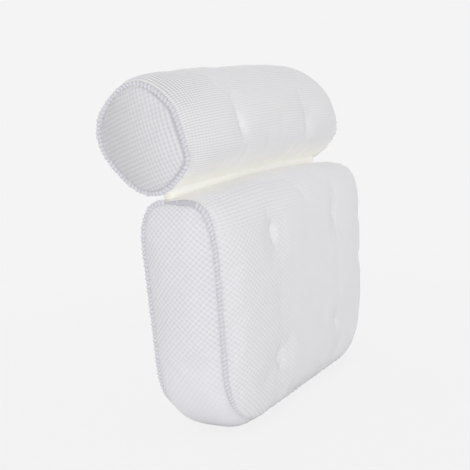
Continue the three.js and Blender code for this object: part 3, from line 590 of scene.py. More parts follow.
# The side outline of one pad face from the hinge down, by distance along the cloth
def padProfile(side):
    drop, depth, start, centre = shoulderOf(side)
    square = padForm["square"][side]
    rows = [(y, padTop, 0.0, 1.0) for y in np.linspace(padHinge[1], side * centre, padForm["ledgeSteps"])]
    for angle in np.linspace(math.pi / 2, 0, padForm["shoulderSteps"])[1:]:
        across, up = math.cos(angle) ** (2 / square), math.sin(angle) ** (2 / square)
        lean = np.array([side * across ** (square - 1) / depth, up ** (square - 1) / drop])
        lean /= np.linalg.norm(lean)
        rows.append((side * (centre + depth * across), start + drop * up, lean[0], lean[1]))
    for z in np.linspace(start, padBottom, padForm["faceSteps"])[1:]:
        rows.append((side * padHalf(z), z, side, 0.0))
    rows = np.array(rows)
    steps = np.hypot(np.diff(rows[:, 0]), np.diff(rows[:, 1]))
    return np.concatenate([[0], np.cumsum(steps)]), rows


padProfiles = {side: padProfile(side) for side in (-1, 1)}
ledgeEnd = padForm["ledgeSteps"] - 1
ledgeLength = {side: padProfiles[side][0][ledgeEnd] for side in (-1, 1)}


def profileAt(side, distance):
    along, rows = padProfiles[side]
    return [float(np.interp(distance, along, rows[:, k])) for k in range(4)]


def distanceAt(side, z):
    along, rows = padProfiles[side]
    return float(np.interp(-z, -rows[ledgeEnd:, 1], along[ledgeEnd:]))


padTufts = [(hand * padForm["tuftX"], padForm[key]) for key in ("tuftUp", "tuftDown") for hand in (-1, 1)]
padSeats = [(x, z - math.copysign(padForm["cupInset"], z)) for x, z in padTufts]


def topShare(x):
    return 1 - abs(x / padSide) ** padForm["topFlatness"]


def topSwell(side, x):
    lift = padForm["topCrown"] if side < 0 else padForm["hingeLift"] / 2
    return lift * topShare(x)


def padCrown(side, x, z, lift):
    reach = max(abs(x) - cornerX, 0)
    foot = cornerStart - math.sqrt(max(padForm["corner"] ** 2 - reach ** 2, 0))
    low = max((padForm["crownHeight"] - z) / (padForm["crownHeight"] - foot), 0)
    full = 1.0
    for share in (x / padSide, low):
        full *= puffed(share, padForm["flatness"], padForm["rounding"])
    return (1 - lift) * padForm["crown"][side] * full + lift * topSwell(side, x)


# The shallow upright fold that joins an upper tuft to the one below it
def padValley(x, z):
    fold = bell((abs(x) - padForm["tuftX"]) / padForm["valleyReach"])
    within = (z - padForm["tuftDown"]) / (padForm["tuftUp"] - padForm["tuftDown"])
    return padForm["valley"] * fold * math.sin(math.pi * min(max(within, 0), 1))


# How far back the flat seat of a cup lies
def seatDepth(x, z):
    drop, depth, start, centre = shoulderOf(1)
    flat, lift = padHalf(z), 0.0
    if z > start:
        rise = (z - start) / drop
        flat, lift = centre + depth * math.sqrt(1 - rise * rise), rise * rise
    return flat + padCrown(1, x, z, lift) - padForm["cupRecess"]


padSeatDepths = [seatDepth(x, z) for x, z in padSeats]


def padSurface(side, x, distance):
    y, z, outY, outZ = profileAt(side, distance)
    if distance < ledgeLength[side]:
        share = (1 - distance / ledgeLength[side]) ** 2
        swell = padForm["hingeLift"] * topShare(x) * share + topSwell(side, x) * (1 - share)
    else:
        swell = padCrown(side, x, z, outZ * outZ if z > shoulderOf(side)[2] else 0.0)
        for tuftX, tuftZ in padTufts:
            swell -= tuftDip(math.hypot(x - tuftX, z - tuftZ))
        if side < 0:
            swell -= padValley(x, z)
        else:
            for (seatX, seatZ), deep in zip(padSeats, padSeatDepths):
                share = seatShare(x - seatX, z - seatZ)
                swell += share * (deep - y - swell)
    return np.array([x * padNarrow(z), y + outY * swell, z + outZ * swell])


# Boundary of a pad face on its cut plan: the left side down to half of the corner, then the bottom
def padEdges(side):
    corner = padForm["corner"]
    top = ledgeLength[side]
    straight = distanceAt(side, cornerStart) - top
    arc = corner * math.pi / 4
    left = [(-padSide, d) for d in np.linspace(0, top, padForm["topRows"][side] + 1)]
    for length in np.linspace(0, straight + arc, padForm["sideRows"] + 1)[1:]:
        turn = max(length - straight, 0) / corner
        left.append((-cornerX - corner * math.cos(turn), top + min(length, straight) + corner * math.sin(turn)))
    bottom = []
    whole = 2 * (arc + cornerX)
    for length in np.linspace(0, whole, padForm["columns"] + 1):
        near = min(length, whole - length)
        turn = math.pi / 4 + min(near, arc) / corner
        x = -cornerX - corner * math.cos(turn) + max(near - arc, 0)
        bottom.append((x if length <= whole / 2 else -x, top + straight + corner * math.sin(turn)))
    return np.array(left), np.array(bottom)


# Fills a cut plan with evenly flowing rows between its four edges
def padPlan(side):
    left, bottom = padEdges(side)
    right = left * np.array([-1, 1])
    columns = padForm["columns"]
    top = np.array([(left[0][0] + (right[0][0] - left[0][0]) * j / columns, 0.0) for j in range(columns + 1)])
    steps = np.hypot(*np.diff(left, axis=0).T)
    down = np.concatenate([[0], np.cumsum(steps)]) / steps.sum()
    u, v = np.meshgrid(np.linspace(0, 1, columns + 1), down)
    u, v = u[..., None], v[..., None]
    plan = (1 - v) * top[None] + v * bottom[None] + (1 - u) * left[:, None] + u * right[:, None]
    plan -= (1 - u) * (1 - v) * top[0] + u * (1 - v) * top[-1] + (1 - u) * v * bottom[0] + u * v * bottom[-1]
    return plan


# One face of the pad; the back face shares the front's first row, which is the hinge line
def padSheet(cover, side, hingeRow=None):
    plan = padPlan(side)
    grid = np.zeros(plan.shape[:2], int)
    for i, j in np.ndindex(grid.shape):
        if i == 0 and hingeRow is not None:
            grid[i, j] = hingeRow[j]
            continue
        grid[i, j] = len(cover["points"])
        cover["points"].append(padSurface(side, *plan[i, j]) + padMiddle)
    for i, j in np.ndindex(grid.shape[0] - 1, grid.shape[1] - 1):
        corners = [(i, j), (i, j + 1), (i + 1, j + 1), (i + 1, j)]
        addFace(cover, [grid[c] for c in corners], [tuple(plan[c]) for c in corners], 0 if side < 0 else 1)
    return grid


# The boxing strip between the two faces: down the left side, along the bottom and up the right side
def boxingStrip(cover, grids, edges):
    points = cover["points"]
    drop, _, start, _ = shoulderOf(-1)
    depth = sum(padForm["topRows"].values())
    strip = []
    for r in range(1, len(edges[-1]) - 1):
        front, back = (points[edges[side][r]] - padMiddle for side in (-1, 1))
        ahead = points[edges[-1][r + 1]] - points[edges[-1][r - 1]]
        out = np.array([ahead[2], 0, -ahead[0]])
        out /= np.linalg.norm(out)
        rise = min(max(((front[2] + back[2]) / 2 - start) / drop, 0), 1)
        row = [edges[-1][r]]
        for k in range(1, depth):
            share = k / depth
            full = 1 - abs(2 * share - 1) ** padForm["sideFlatness"]
            swell = padForm["sideCrown"] * full * (1 - rise ** padForm["sideFade"])
            place = front + (back - front) * share + out * swell
            place[2] = max(place[2], -padMiddle[2])
            row.append(len(points))
            points.append(place + padMiddle)
        strip.append(row + [edges[1][r]])
    ends = []
    for column in (0, -1):
        front = list(grids[-1][:padForm["topRows"][-1] + 1, column][::-1])
        ends.append(front + list(grids[1][1:padForm["topRows"][1] + 1, column]))
    strip = [ends[0], *strip, ends[1]]
    length = 0.0
    for row, after in zip(strip, strip[1:]):
        step = float(np.linalg.norm(points[after[0]] - points[row[0]]))
        wide, wideAfter = (float(np.linalg.norm(points[line[-1]] - points[line[0]])) for line in (row, after))
        for k in range(depth):
            low, high = k / depth - 0.5, (k + 1) / depth - 0.5
            plan = [(low * wide, length), (high * wide, length),
                    (high * wideAfter, length + step), (low * wideAfter, length + step)]
            addFace(cover, [row[k], row[k + 1], after[k + 1], after[k]], plan, 2)
        length += step


def padCushion():
    cover = newCover()
    grids, edges, seamLines = {}, {}, {}
    grids[-1] = padSheet(cover, -1)
    grids[1] = padSheet(cover, 1, grids[-1][0])
    for side, grid in grids.items():
        first = padForm["topRows"][side]
        edges[side] = [*grid[first:, 0], *grid[-1, 1:-1], *grid[first:, -1][::-1]]
        seamLines[side] = [int(v) for v in [*grid[:first, 0], *edges[side], *grid[:first, -1][::-1]]]
    boxingStrip(cover, grids, edges)
    piece = makePiece("pad_cushion", cover, "padFrontMesh", "padBackMesh", "padSideMesh")
    return piece, seamLines, [int(v) for v in grids[-1][0]]


padPiece, padSeamLines, padHingeLine = padCushion()
print("pad cushion laid out:", len(padPiece.data.vertices), "points")


# Head roll: an oval section that leans back, drawn along X and closed by domed caps; hand -1 is the left end
rollForm = {
    "width": 0.355, "long": 0.1068, "short": 0.0912, "squareness": 2.6, "lean": 46, "swell": 0.013,
    "fuller": 0.5, "flatness": 4, "rounding": 0.55, "capCrown": 0.015, "capFlatness": 4, "capTilt": 0.55,
    "capRib": (-0.955, 0.297), "flatAngle": 118, "flatAt": 0.0408, "flatSoft": 0.0025, "flatReach": 0.075,
    "flatRight": 0.35, "seamAngle": 205, "hingeGap": 0.005, "tuftX": 0.081, "tuftAngles": {-1: 119, 1: 132},
    "tieBackAngle": 312, "cupAngle": 270, "cupRecess": 0.004, "sides": 80, "columns": 85, "sectionSteps": 2880,
}
rollHalf = rollForm["width"] / 2
leanAngle = math.radians(90 - rollForm["lean"])
longAxis = np.array([math.sin(leanAngle), math.cos(leanAngle)])
shortAxis = np.array([-longAxis[1], longAxis[0]])


def signedPower(value, power):
    return math.copysign(abs(value) ** power, value)


def ovalAt(degrees):
    turn, power = math.radians(degrees), 2 / rollForm["squareness"]
    far = signedPower(math.cos(turn), power) * rollForm["long"] / 2
    wide = signedPower(math.sin(turn), power) * rollForm["short"] / 2
    return longAxis * far + shortAxis * wide


def ovalOut(degrees):
    turn, power = math.radians(degrees), 2 - 2 / rollForm["squareness"]
    far = signedPower(math.cos(turn), power) / rollForm["long"]
    wide = signedPower(math.sin(turn), power) / rollForm["short"]
    out = longAxis * far + shortAxis * wide
    return out / np.linalg.norm(out)


rollSeam = ovalAt(rollForm["seamAngle"])
rollSeamOut = ovalOut(rollForm["seamAngle"])
rollMiddle = hingePoint - np.array([0, *(rollSeam + rollSeamOut * rollForm["hingeGap"])])


# Evenly spaced points round the section, from the hinge seam
def rollSection():
    turns = np.linspace(0, 360, rollForm["sectionSteps"] + 1)
    dense = np.array([ovalAt(rollForm["seamAngle"] + turn) for turn in turns])
    along = np.concatenate([[0], np.cumsum(np.hypot(*np.diff(dense, axis=0).T))])
    wanted = np.linspace(0, along[-1], rollForm["sides"] + 1)[:-1]
    angles = rollForm["seamAngle"] + np.interp(wanted, along, turns)
    return angles, wanted, along[-1]


rollAngles, rollAlong, rollGirth = rollSection()


# Nothing at the hinge seam, and fuller over the top and the front
def rollSwell(x, degrees):
    full = puffed(x / rollHalf, rollForm["flatness"], rollForm["rounding"])
    near = math.cos(math.radians(degrees - rollForm["seamAngle"]) / 2) ** 2
    fuller = smoothShare(rollForm["fuller"] + math.sin(math.radians(degrees)))
    return rollForm["swell"] * full * (1 - near ** (1 + fuller))


# Towards each end the section loses the bulge of its upper front
def rollFlat(point, x):
    turn = math.radians(rollForm["flatAngle"])
    out = longAxis * math.cos(turn) + shortAxis * math.sin(turn)
    over = max(point @ out - rollForm["flatAt"], 0)
    kept = rollForm["flatSoft"] * (1 - math.exp(-over / rollForm["flatSoft"]))
    share = smoothShare((abs(x) - rollHalf + rollForm["flatReach"]) / rollForm["flatReach"])
    return point - out * (over - kept) * share * (1 if x < 0 else rollForm["flatRight"])


rollSeatDepth = rollForm["short"] / 2 + rollSwell(rollForm["tuftX"], rollForm["cupAngle"])
rollSeatDepth -= rollForm["cupRecess"]


def rollSurface(x, degrees):
    plain = ovalAt(degrees)
    swell = rollSwell(x, degrees)
    for hand in (-1, 1):
        offX = x - hand * rollForm["tuftX"]
        front = np.linalg.norm(plain - ovalAt(rollForm["tuftAngles"][hand]))
        back = np.linalg.norm(plain - ovalAt(rollForm["tieBackAngle"]))
        swell -= tuftDip(math.hypot(offX, front)) + tuftDip(math.hypot(offX, back))
    point = rollFlat(plain, x) + ovalOut(degrees) * swell
    if plain @ shortAxis < 0:
        for hand in (-1, 1):
            share = seatShare(x - hand * rollForm["tuftX"], plain @ longAxis)
            point = point + shortAxis * share * (-rollSeatDepth - point @ shortAxis)
    return np.array([x, *point])


# Where a grid point of the square cap falls: its ring from 0 to 1 and its place along that ring
def capRing(i, j, half):
    a, b = i - half, j - half
    ring = max(abs(a), abs(b))
    if ring == 0:
        return 0.0, 0.0
    a, b = a / ring, b / ring
    if b == -1 and a < 1:
        place = (a + 1) / 2
    elif a == 1 and b < 1:
        place = 1 + (b + 1) / 2
    elif b == 1 and a > -1:
        place = 2 + (1 - a) / 2
    else:
        place = 3 + (1 - b) / 2
    return ring / half, place / 4


def rollWrap(cover):
    sides, columns = rollForm["sides"], rollForm["columns"]
    xs = np.linspace(-rollHalf, rollHalf, columns + 1)
    for x in xs:
        for degrees in rollAngles:
            cover["points"].append(rollSurface(x, degrees) + rollMiddle)
    wrap = np.arange(len(cover["points"])).reshape(columns + 1, sides)
    for c, k in np.ndindex(columns, sides):
        n = (k + 1) % sides
        low, high = rollAlong[k], rollAlong[k] + rollGirth / sides
        plan = [(xs[c], low), (xs[c], high), (xs[c + 1], high), (xs[c + 1], low)]
        addFace(cover, [wrap[c, k], wrap[c, n], wrap[c + 1, n], wrap[c + 1, k]], plan, 0, [(0, 0)] * 4)
    return wrap


# A domed cap on the wrap's rim, fullest towards the front
def rollCap(cover, hand, rim):
    sides = rollForm["sides"]
    count = sides // 4
    rib = np.array(rollForm["capRib"])
    loop = np.array([rollFlat(ovalAt(degrees), hand * rollHalf) for degrees in rollAngles])
    grid = np.zeros((count + 1, count + 1), int)
    rings = np.zeros(grid.shape)
    plan = np.zeros((*grid.shape, 2))
    for i, j in np.ndindex(grid.shape):
        ring, place = capRing(i, j, count / 2)
        low, mix = divmod(place * sides, 1)
        low = int(low) % sides
        flat = (loop[low] * (1 - mix) + loop[(low + 1) % sides] * mix) * ring
        rings[i, j] = ring
        plan[i, j] = (flat @ rib, flat @ np.array([-rib[1], rib[0]]))
        if ring == 1:
            grid[i, j] = rim[int(round(place * sides)) % sides]
            continue
        tilt = 1 - rollForm["capTilt"] * (1 + flat[0] / (rollForm["long"] / 2))
        dome = rollForm["capCrown"] * (1 - ring ** rollForm["capFlatness"]) * tilt
        grid[i, j] = len(cover["points"])
        cover["points"].append(np.array([hand * (rollHalf + dome), *flat]) + rollMiddle)
    for i, j in np.ndindex(count, count):
        corners = [(i, j), (i + 1, j), (i + 1, j + 1), (i, j + 1)]
        addFace(cover, [grid[c] for c in corners], [tuple(plan[c]) for c in corners], 1,
                [(rings[c], 0) for c in corners])


def rollCushion():
    cover = newCover()
    wrap = rollWrap(cover)
    rims = {-1: wrap[0], 1: wrap[-1]}
    for hand, rim in rims.items():
        rollCap(cover, hand, rim)
    piece = makePiece("roll_cushion", cover, "rollMesh", "capMesh")
    seamLines = {hand: [int(v) for v in rim] for hand, rim in rims.items()}
    return piece, seamLines, [int(v) for v in wrap[:, 0]]


rollPiece, rollSeamLines, rollHingeLine = rollCushion()
print("roll cushion laid out:", len(rollPiece.data.vertices), "points")


# Stuffing: the covers are blown up between their sewn lines, and no point may go further than the cap
stuffing = {"frames": 18, "cap": 0.0030, "hingeReach": 0.06, "tuftHold": 0.004, "seatHold": 0.014,
            "floorBand": 0.0005, "seamSharp": 0.45}
clothPull = {
    "quality": 6, "mass": 0.2, "tension_stiffness": 18.0, "compression_stiffness": 18.0, "shear_stiffness": 6,
    "bending_stiffness": 0.8, "shrink_min": -0.012, "use_pressure": True, "uniform_pressure_force": 3.2,
}


def heldPoints(piece, places, reach):
    return {vertex.index for vertex in piece.data.vertices
            if any((vertex.co - Vector(place)).length < reach for place in places)}


# Runs the cloth and gives where each point of the cover ends up
def blownPoints(piece, held):
    group = piece.vertex_groups.new(name="sewn")
    group.add(held, 1.0, "REPLACE")
    cloth = piece.modifiers.new("stuffing", "CLOTH")
    for key, value in clothPull.items():
        setattr(cloth.settings, key, value)
    cloth.settings.vertex_group_mass = group.name
    cloth.settings.effector_weights.gravity = 0
    cloth.collision_settings.use_collision = False
    cloth.collision_settings.use_self_collision = False
    cloth.point_cache.frame_start = 1
    cloth.point_cache.frame_end = stuffing["frames"]
    for step in range(1, stuffing["frames"] + 1):
        scene.frame_set(step)
    blown = piece.evaluated_get(bpy.context.evaluated_depsgraph_get())
    after = [vertex.co.copy() for vertex in blown.data.vertices]
    piece.modifiers.remove(cloth)
    piece.vertex_groups.clear()
    scene.frame_set(1)
    return after


def stuffCushion(piece, held, floor=None):
    largest = 0.0
    after = blownPoints(piece, held)
    for vertex, end in zip(piece.data.vertices, after):
        start = vertex.co.copy()
        move = end - start
        reach = math.hypot(start.y - hingePoint[1], start.z - hingePoint[2])
        cap = stuffing["cap"] * smoothShare(reach / stuffing["hingeReach"])
        if move.length > cap:
            move = move.normalized() * cap
        vertex.co = start + move
        if floor is not None:
            isFoot = start.z < floor + stuffing["floorBand"]
            vertex.co.z = floor if isFoot else max(vertex.co.z, floor)
        largest = max(largest, (vertex.co - start).length)
    piece.data.update()
    print(piece.name, "stuffed, largest move", round(largest * 1000, 2), "mm")


def creaseSeams(piece, lines, sharp):
    layer = piece.data.attributes.new("crease_edge", "FLOAT", "EDGE")
    sewn = {tuple(sorted(pair)) for line in lines for pair in zip(line, line[1:])}
    for edge in piece.data.edges:
        if tuple(sorted(edge.vertices)) in sewn:
            layer.data[edge.index].value = sharp


# A new mesh of the shape that a piece has with its modifiers
def shapedMesh(piece, name):
    shaped = piece.evaluated_get(bpy.context.evaluated_depsgraph_get())
    mesh = bpy.data.meshes.new_from_object(shaped)
    mesh.name = name
    return mesh


def setPointValues(mesh, values):
    for label, numbers in values.items():
        mesh.attributes.new(label, "FLOAT", "POINT").data.foreach_set("value", numbers)


def smoothCloth(piece):
    smooth = piece.modifiers.new("cloth_smoothing", "SUBSURF")
    smooth.levels = smooth.render_levels = 1
    mesh = shapedMesh(piece, piece.name)
    piece.modifiers.remove(smooth)
    piece.data = mesh


# Each tie draws the cloth in to a small steep pit, with pleats running out of it, and paints a highlight and a
# shadow on the pit
def drawTufts(piece, places, form):
    masks = {label: [0.0] * len(piece.data.vertices) for label in ("drawn", "folded")}
    for name, (front, back) in places.items():
        white = form["whiteTip" if name in form["brightest"] else "whiteShare"]
        inward = Vector(back - front).normalized()
        aside = inward.cross(Vector((1, 0, 0))).normalized()
        for place, pull in ((Vector(front), inward), (Vector(back), -inward)):
            for vertex in piece.data.vertices:
                off = vertex.co - place
                share = math.hypot(off.x, off.dot(aside) / form["tall"]) / form["pitReach"]
                if share > form["pleatReach"] or abs(off.dot(inward)) > form["through"]:
                    continue
                turn = math.atan2(off.dot(aside), off.x)
                pleat = math.cos(form["pleats"] * turn) * min(share, 1)
                depth = form["pit"] * (1 - min(share, 1) ** 2) ** 2
                depth += form["pit"] * form["pleatShare"] * pleat * smoothShare(form["pleatReach"] - share)
                vertex.co += pull * depth
                # Painted highlight on the side of the pit that faces the light
                lit = smoothShare(form["whiteSide"] + math.cos(turn)) if share > form["knot"] else 1.0
                fade = smoothShare((form["whiteReach"] - share) / form["whiteFade"])
                masks["drawn"][vertex.index] = white * lit * fade
                # Painted shadow along the fold, on the side of the pit away from the light
                ridge = math.exp(-((share - form["fold"]) / form["foldWidth"]) ** 2)
                shadow = smoothShare(-form["foldSide"] * math.cos(turn))
                masks["folded"][vertex.index] = form["foldShare"] * ridge * shadow
    setPointValues(piece.data, masks)
    piece.data.update()


tuftPlaces = {}
for word, (x, z) in zip(("upper_left", "upper_right", "lower_left", "lower_right"), padTufts):
    tuftPlaces["pad_" + word] = [padSurface(side, x, distanceAt(side, z)) + padMiddle for side in (-1, 1)]
for word, hand in (("left", -1), ("right", 1)):
    angles = (rollForm["tuftAngles"][hand], rollForm["tieBackAngle"])
    x = hand * rollForm["tuftX"]
    tuftPlaces["head_" + word] = [rollSurface(x, angle) + rollMiddle for angle in angles]

cupRimAbove = 0.0171  # from a cup's seat to its rim, where the joint stands
cupAxes = {}
for name, joint in joints.items():
    if name.startswith("cup_turn_"):
        axis = np.array(joint["axis"]) / np.linalg.norm(joint["axis"])
        seat = np.array(joint["pos_m"]) - axis * cupRimAbove
        cupAxes[name.replace("cup_turn_", "")] = (seat, axis)

padLines = [padSeamLines[-1], padSeamLines[1], padHingeLine]
rollLines = [rollSeamLines[hand] + rollSeamLines[hand][:1] for hand in (-1, 1)] + [rollHingeLine]
for piece, lines, word, floor in ((padPiece, padLines, "pad", 0.0), (rollPiece, rollLines, "head", None)):
    tufts = {name: pair for name, pair in tuftPlaces.items() if name.startswith(word)}
    seats = [seat for name, (seat, axis) in cupAxes.items() if name.startswith(word)]
    held = {v for line in lines for v in line}
    held |= heldPoints(piece, [place for pair in tufts.values() for place in pair], stuffing["tuftHold"])
    held |= heldPoints(piece, seats, stuffing["seatHold"])
    stuffCushion(piece, sorted(held), floor)
    creaseSeams(piece, lines, stuffing["seamSharp"])
    smoothCloth(piece)
    drawTufts(piece, tufts, tuftForm)
finishPiece(padPiece, "shoulder_pad", "spacer_mesh",
            "pad_front_panel", "pad_back_panel", "pad_boxing_strip", "pad_filling")
finishPiece(rollPiece, "head_roll", "spacer_mesh",
            "head_wrap_panel", "head_end_cap_left", "head_end_cap_right", "head_filling")
print("cushions stuffed")


# Overlocked seams: a cord of folded edges wrapped in slanting thread
overlock = {"pitch": 0.0043, "core": 0.0023, "thread": 0.0014, "wrap": 0.0020, "sweep": 250, "slant": 34,
            "vary": (0.88, 1.12), "coreSides": 10, "threadSides": 6, "wrapSteps": 9, "seed": 7}
overlockTail = {"girth": 0.34, "reach": 0.076, "steep": 2, "tip": 0.30, "tipReach": 0.024, "bare": 0.70,
                "bareReach": 0.054, "bareSteep": 3}
overlockTuck = {"foot": 0.0020, "footHeight": 0.050, "fade": 0.030, "left": 0.0008, "right": 0.0022,
                "topHeight": 0.205}


def namedValue(tree, label, kind):
    values = {"Name": label}
    return addNode(tree, "GeometryNodeInputNamedAttribute", values, data_type=kind).outputs["Attribute"]


def sweptTube(tree, curve, radius, sides, scale=None):
    ring = addNode(tree, "GeometryNodeCurvePrimitiveCircle", {"Resolution": sides, "Radius": radius})
    return addNode(tree, "GeometryNodeCurveToMesh", {
        "Curve": curve, "Profile Curve": ring.outputs["Curve"], "Scale": scale, "Fill Caps": True,
    }).outputs["Mesh"]


def withFinish(tree, geometry, name):
    values = {"Geometry": geometry, "Material": finishes[name]}
    return addNode(tree, "GeometryNodeSetMaterial", values).outputs["Geometry"]


def overlockTree(look):
    tree, given, leave = newGroup("overlockWraps", [
        ("Geometry", "NodeSocketGeometry", None),
        ("Pitch", "NodeSocketFloat", look["pitch"]),
        ("Core Radius", "NodeSocketFloat", look["core"]),
        ("Thread Radius", "NodeSocketFloat", look["thread"]),
        ("Wrap Radius", "NodeSocketFloat", look["wrap"]),
        ("Sweep", "NodeSocketFloat", math.radians(look["sweep"])),
        ("Slant", "NodeSocketFloat", math.radians(look["slant"])),
        ("Seed", "NodeSocketInt", look["seed"]),
    ], [("Geometry", "NodeSocketGeometry")], "GeometryNodeTree")
    path = addNode(tree, "GeometryNodeMeshToCurve", {"Mesh": given["Geometry"]}).outputs["Curve"]
    girth = namedValue(tree, "coreGirth", "FLOAT")
    core = sweptTube(tree, path, given["Core Radius"], look["coreSides"], girth)
    bow = addNode(tree, "GeometryNodeCurveArc", {
        "Resolution": look["wrapSteps"], "Radius": given["Wrap Radius"], "Sweep Angle": given["Sweep"],
        "Start Angle": calc(tree, "MULTIPLY", given["Sweep"], -0.5),
    })
    wrap = sweptTube(tree, bow.outputs["Curve"], given["Thread Radius"], look["threadSides"])
    heading = addNode(tree, "GeometryNodeInputTangent").outputs[0]
    along = addNode(tree, "FunctionNodeAlignRotationToVector", {"Vector": heading}, axis="Z", pivot_axis="AUTO")
    outward = addNode(tree, "FunctionNodeAlignRotationToVector", {
        "Rotation": along.outputs[0], "Vector": namedValue(tree, "outward", "FLOAT_VECTOR"),
    }, axis="X", pivot_axis="Z")
    tilt = addNode(tree, "FunctionNodeAxisAngleToRotation", {"Axis": (1, 0, 0), "Angle": given["Slant"]})
    lay = addNode(tree, "FunctionNodeRotateRotation", {
        "Rotation": outward.outputs[0], "Rotate By": tilt.outputs[0],
    }, rotation_space="LOCAL")
    least, most = look["vary"]
    span = {2: least, 3: most, "Seed": given["Seed"]}
    vary = addNode(tree, "FunctionNodeRandomValue", span, data_type="FLOAT")
    spots = addNode(tree, "GeometryNodeResampleCurve", {"Curve": path, "Length": given["Pitch"]}, mode="LENGTH")
    placed = addNode(tree, "GeometryNodeInstanceOnPoints", {
        "Points": spots.outputs["Curve"], "Instance": wrap, "Rotation": lay.outputs[0],
        "Scale": calc(tree, "MULTIPLY", vary.outputs[1], namedValue(tree, "wrapGirth", "FLOAT")),
    })
    real = addNode(tree, "GeometryNodeRealizeInstances", {"Geometry": placed.outputs["Instances"]})
    both = addNode(tree, "GeometryNodeJoinGeometry")
    feed(tree, both.inputs[0], withFinish(tree, core, "overlockCore"))
    feed(tree, both.inputs[0], withFinish(tree, real.outputs["Geometry"], "overlockThread"))
    smooth = addNode(tree, "GeometryNodeSetShadeSmooth", {"Geometry": both.outputs[0]})
    feedAll(tree, leave, {"Geometry": smooth.outputs["Geometry"]})
    return tree


overlockNodes = overlockTree(overlock)


# The cord's line along sewn points, tucked into the cloth where the seam sinks
def seamPath(piece, line, isRing):
    places, outs = [], []
    for v in line:
        place, out = piece.data.vertices[v].co, piece.data.vertices[v].normal
        tuck = overlockTuck["right" if place.x > 0 else "left"]
        if not isRing:
            low = smoothShare((overlockTuck["footHeight"] - place.z) / overlockTuck["fade"])
            high = smoothShare((place.z - overlockTuck["topHeight"]) / overlockTuck["fade"])
            tuck = overlockTuck["foot"] * low + (overlockTuck["right"] * high if place.x > 0 else 0)
        places.append(place - out * tuck)
        outs.append(tuple(out))
    edges = [(k, k + 1) for k in range(len(line) - 1)]
    if isRing:
        edges.append((len(line) - 1, 0))
    return places, outs, edges


# The front cord starts in a thick bare tail that thins to its tip, and the thread wraps it from there on
def seamGirths(places, tail):
    count = len(places)
    girths = {"coreGirth": [1.0] * count, "wrapGirth": [1.0] * count, "tailShare": [0.0] * count}
    if tail is None:
        return girths
    steps = [(after - before).length for before, after in zip(places, places[1:])]
    for k, distance in enumerate(np.concatenate([[0.0], np.cumsum(steps)])):
        thick = 1 + tail["girth"] * smoothShare(tail["steep"] * (1 - distance / tail["reach"]))
        thin = (1 - tail["tip"]) * smoothShare(1 - distance / tail["tipReach"])
        bare = smoothShare(tail["bareSteep"] * (1 - distance / tail["bareReach"]))
        girths["coreGirth"][k] = thick * (1 - thin)
        girths["wrapGirth"][k] = thick * (1 - thin) * (1 - (1 - tail["bare"]) * bare)
        # the bare tail takes a painted shade in the core's finish
        girths["tailShare"][k] = bare
    return girths


def overlockSeam(name, piece, line, body, node, isRing=False, tail=None):
    places, outs, edges = seamPath(piece, line, isRing)
    guide = bpy.data.meshes.new(name + "_guide")
    guide.from_pydata([tuple(place) for place in places], edges, [])
    layer = guide.attributes.new("outward", "FLOAT_VECTOR", "POINT")
    layer.data.foreach_set("vector", np.array(outs, float).ravel())
    setPointValues(guide, seamGirths(places, tail))
    guideObject = addObject(name + "_guide", guide)
    wraps = guideObject.modifiers.new("overlock_wraps", "NODES")
    wraps.node_group = overlockNodes
    for item in overlockNodes.interface.items_tree:
        if item.in_out == "INPUT" and item.socket_type != "NodeSocketGeometry":
            wraps[item.identifier] = item.default_value
    seam = addObject(name, shapedMesh(guideObject, name))
    bpy.data.objects.remove(guideObject)
    finishPiece(seam, body, "overlock", node)
    print(name, "sewn:", len(seam.data.polygons), "faces")


overlockSeam("pad_front_overlock", padPiece, padSeamLines[-1], "shoulder_pad", "pad_front_seam",
             tail=overlockTail)
overlockSeam("pad_back_overlock", padPiece, padSeamLines[1], "shoulder_pad", "pad_back_seam")
overlockSeam("head_left_overlock", rollPiece, rollSeamLines[-1], "head_roll", "head_seam_left", isRing=True)
overlockSeam("head_right_overlock", rollPiece, rollSeamLines[1], "head_roll", "head_seam_right", isRing=True)


# The web of the fabric hinge: thin at its ends, and gathered between the pad's top and the roll's underside
webForm = {"length": 0.336, "reach": {-1: 0.0120, 1: 0.007}, "end": {-1: 0.0030, 1: 0.0080}, "fade": 2.5,
           "sink": 0.0016, "waist": 0.22, "columns": 84, "rows": 9, "bend": 0.005,
           "search": {-1: -27, 1: 35}, "searchSteps": 24}


# Height of the roll's underside at a distance in front of the hinge (behind it when negative)
def rollUnder(x, ahead):
    seam = rollForm["seamAngle"]
    far = seam + webForm["search"][-1 if ahead > 0 else 1]
    for step in range(webForm["searchSteps"]):
        middle = (seam + far) / 2
        gap = hingePoint[1] - rollMiddle[1] - rollSurface(x, middle)[1]
        if (gap < ahead) == (ahead > 0):
            seam = middle
        else:
            far = middle
    return rollSurface(x, seam)[2] + rollMiddle[2]


def webFace(x, side, reach):
    low = padSurface(side, x, reach) + padMiddle
    top = rollUnder(x, hingePoint[1] - low[1])
    line = []
    for share in np.linspace(0, 1, webForm["rows"]):
        y = low[1] - side * webForm["waist"] * reach * math.sin(math.pi * share)
        z = low[2] - webForm["sink"] + (top - low[2] + 2 * webForm["sink"]) * share
        line.append(np.array([x, y, z]))
    return line


